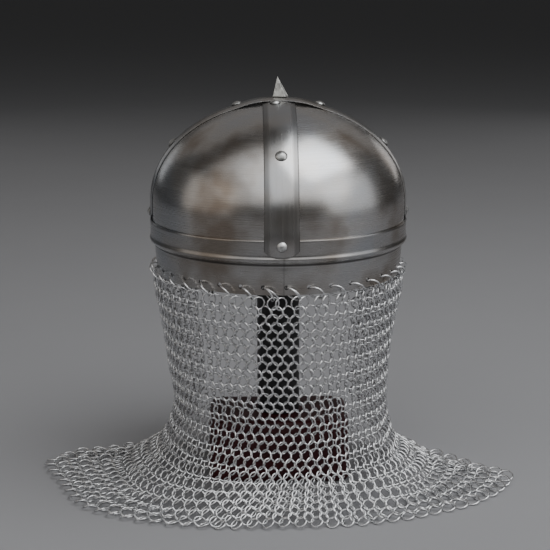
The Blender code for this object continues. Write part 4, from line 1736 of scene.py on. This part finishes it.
@dataclass
class Studio:
    """Pale floor, soft lamps and the camera at the photograph's angle."""

    distance: float = 1.070
    height: float = 0.413
    pitch: float = math.radians(12.7)
    azimuth: float = math.radians(-1.5)
    focal_px: float = 1300.0
    frame_px: float = 550.0
    axis_px: float = 278.3
    sensor: float = 36.0
    sight: float = 50.0
    floor_half: float = 20.0
    floor_near: float = -8.0
    floor_far: float = 40.0
    surroundings: float = 0.075
    surroundings_colour: Triple = (0.80, 0.80, 0.80)
    lamps: tuple[SoftLamp, ...] = (
        SoftLamp("front_panel", (0.10, -1.15, 1.75), (0.0, 0.0, 0.27), (5.6, 2.9), 29.0),
        SoftLamp("near_panel", (0.45, -1.00, 1.60), (0.0, 0.0, 0.27), (3.0, 1.9), 11.0),
        SoftLamp("core_panel", (0.66, -0.35, 1.66), (0.0, 0.0, 0.27), (1.3, 1.1), 12.5,
                 (0.95, 0.975, 1.0)),
        SoftLamp("right_panel", (2.2, -0.9, 0.9), (0.0, 0.0, 0.15), (2.4, 1.6), 9.0),
        SoftLamp("back_panel", (0.0, 1.7, 2.0), (0.0, 0.0, 0.27), (4.5, 2.0), 4.8,
                 (1.0, 0.93, 0.88)),
        SoftLamp("rim_right", (1.7, 2.6, 0.75), (0.0, 0.0, 0.25), (0.8, 0.8), 2.2),
        SoftLamp("rim_left", (-1.7, 2.6, 0.75), (0.0, 0.0, 0.25), (0.8, 0.8), 1.0),
        SoftLamp("left_panel", (-2.2, -0.9, 0.9), (0.0, 0.0, 0.15), (2.4, 1.6), 6.0,
                 (1.0, 0.93, 0.86)))

    def floor(self) -> None:
        """Level floor that runs far beyond the frame."""
        x, y = np.meshgrid(np.linspace(-self.floor_half, self.floor_half, 3),
                           np.linspace(self.floor_near, self.floor_far, 3))
        points = np.stack([x, y, np.zeros_like(x)], -1)
        mesh = bpy.data.meshes.new("studio_floor")
        mesh.from_pydata(points.reshape(-1, 3).tolist(), [], grid_quads(3, 3).tolist())
        mesh.materials.append(StudioFloor().build())
        floor = bpy.data.objects.new("studio_floor", mesh)
        bpy.context.scene.collection.objects.link(floor)

    def light(self) -> None:
        """Dim even surroundings and the soft lamps."""
        world = bpy.data.worlds.new("studio")
        world.use_nodes = True
        backdrop = world.node_tree.nodes["Background"]
        backdrop.inputs["Color"].default_value = (*self.surroundings_colour, 1.0)
        backdrop.inputs["Strength"].default_value = self.surroundings
        bpy.context.scene.world = world
        for lamp in self.lamps:
            lamp.build()

    def camera(self) -> None:
        """Camera behind the helmet, level with its band and looking a little down."""
        lens = bpy.data.cameras.new("camera")
        lens.sensor_width = self.sensor
        lens.lens = self.focal_px / self.frame_px * lens.sensor_width
        lens.shift_x = -(self.axis_px - self.frame_px / 2.0) / self.frame_px
        lens.clip_end = self.sight
        eye = bpy.data.objects.new("camera", lens)
        eye.location = (self.distance * math.sin(self.azimuth),
                        -self.distance * math.cos(self.azimuth), self.height)
        eye.rotation_mode = "XYZ"
        eye.rotation_euler = (QUARTER_TURN - self.pitch, 0.0, self.azimuth)
        bpy.context.scene.collection.objects.link(eye)
        bpy.context.scene.camera = eye

    def build(self) -> None:
        """Set the stage."""
        self.floor()
        self.light()
        self.camera()


def main() -> None:
    """Build the helmet, its mail, the stand and the studio, in that order."""
    logging.basicConfig(level=logging.INFO, format="%(name)s: %(message)s")
    skull = Skull()
    band = BrowBand(skull)
    straps = Straps(skull, band)
    for assembly in (skull, band, straps, Rivets(skull, straps), Spike(), Mail(band),
                     Stand(skull), Studio()):
        LOG.info("building %s", type(assembly).__name__)
        assembly.build()


if __name__ == "__main__":
    main()
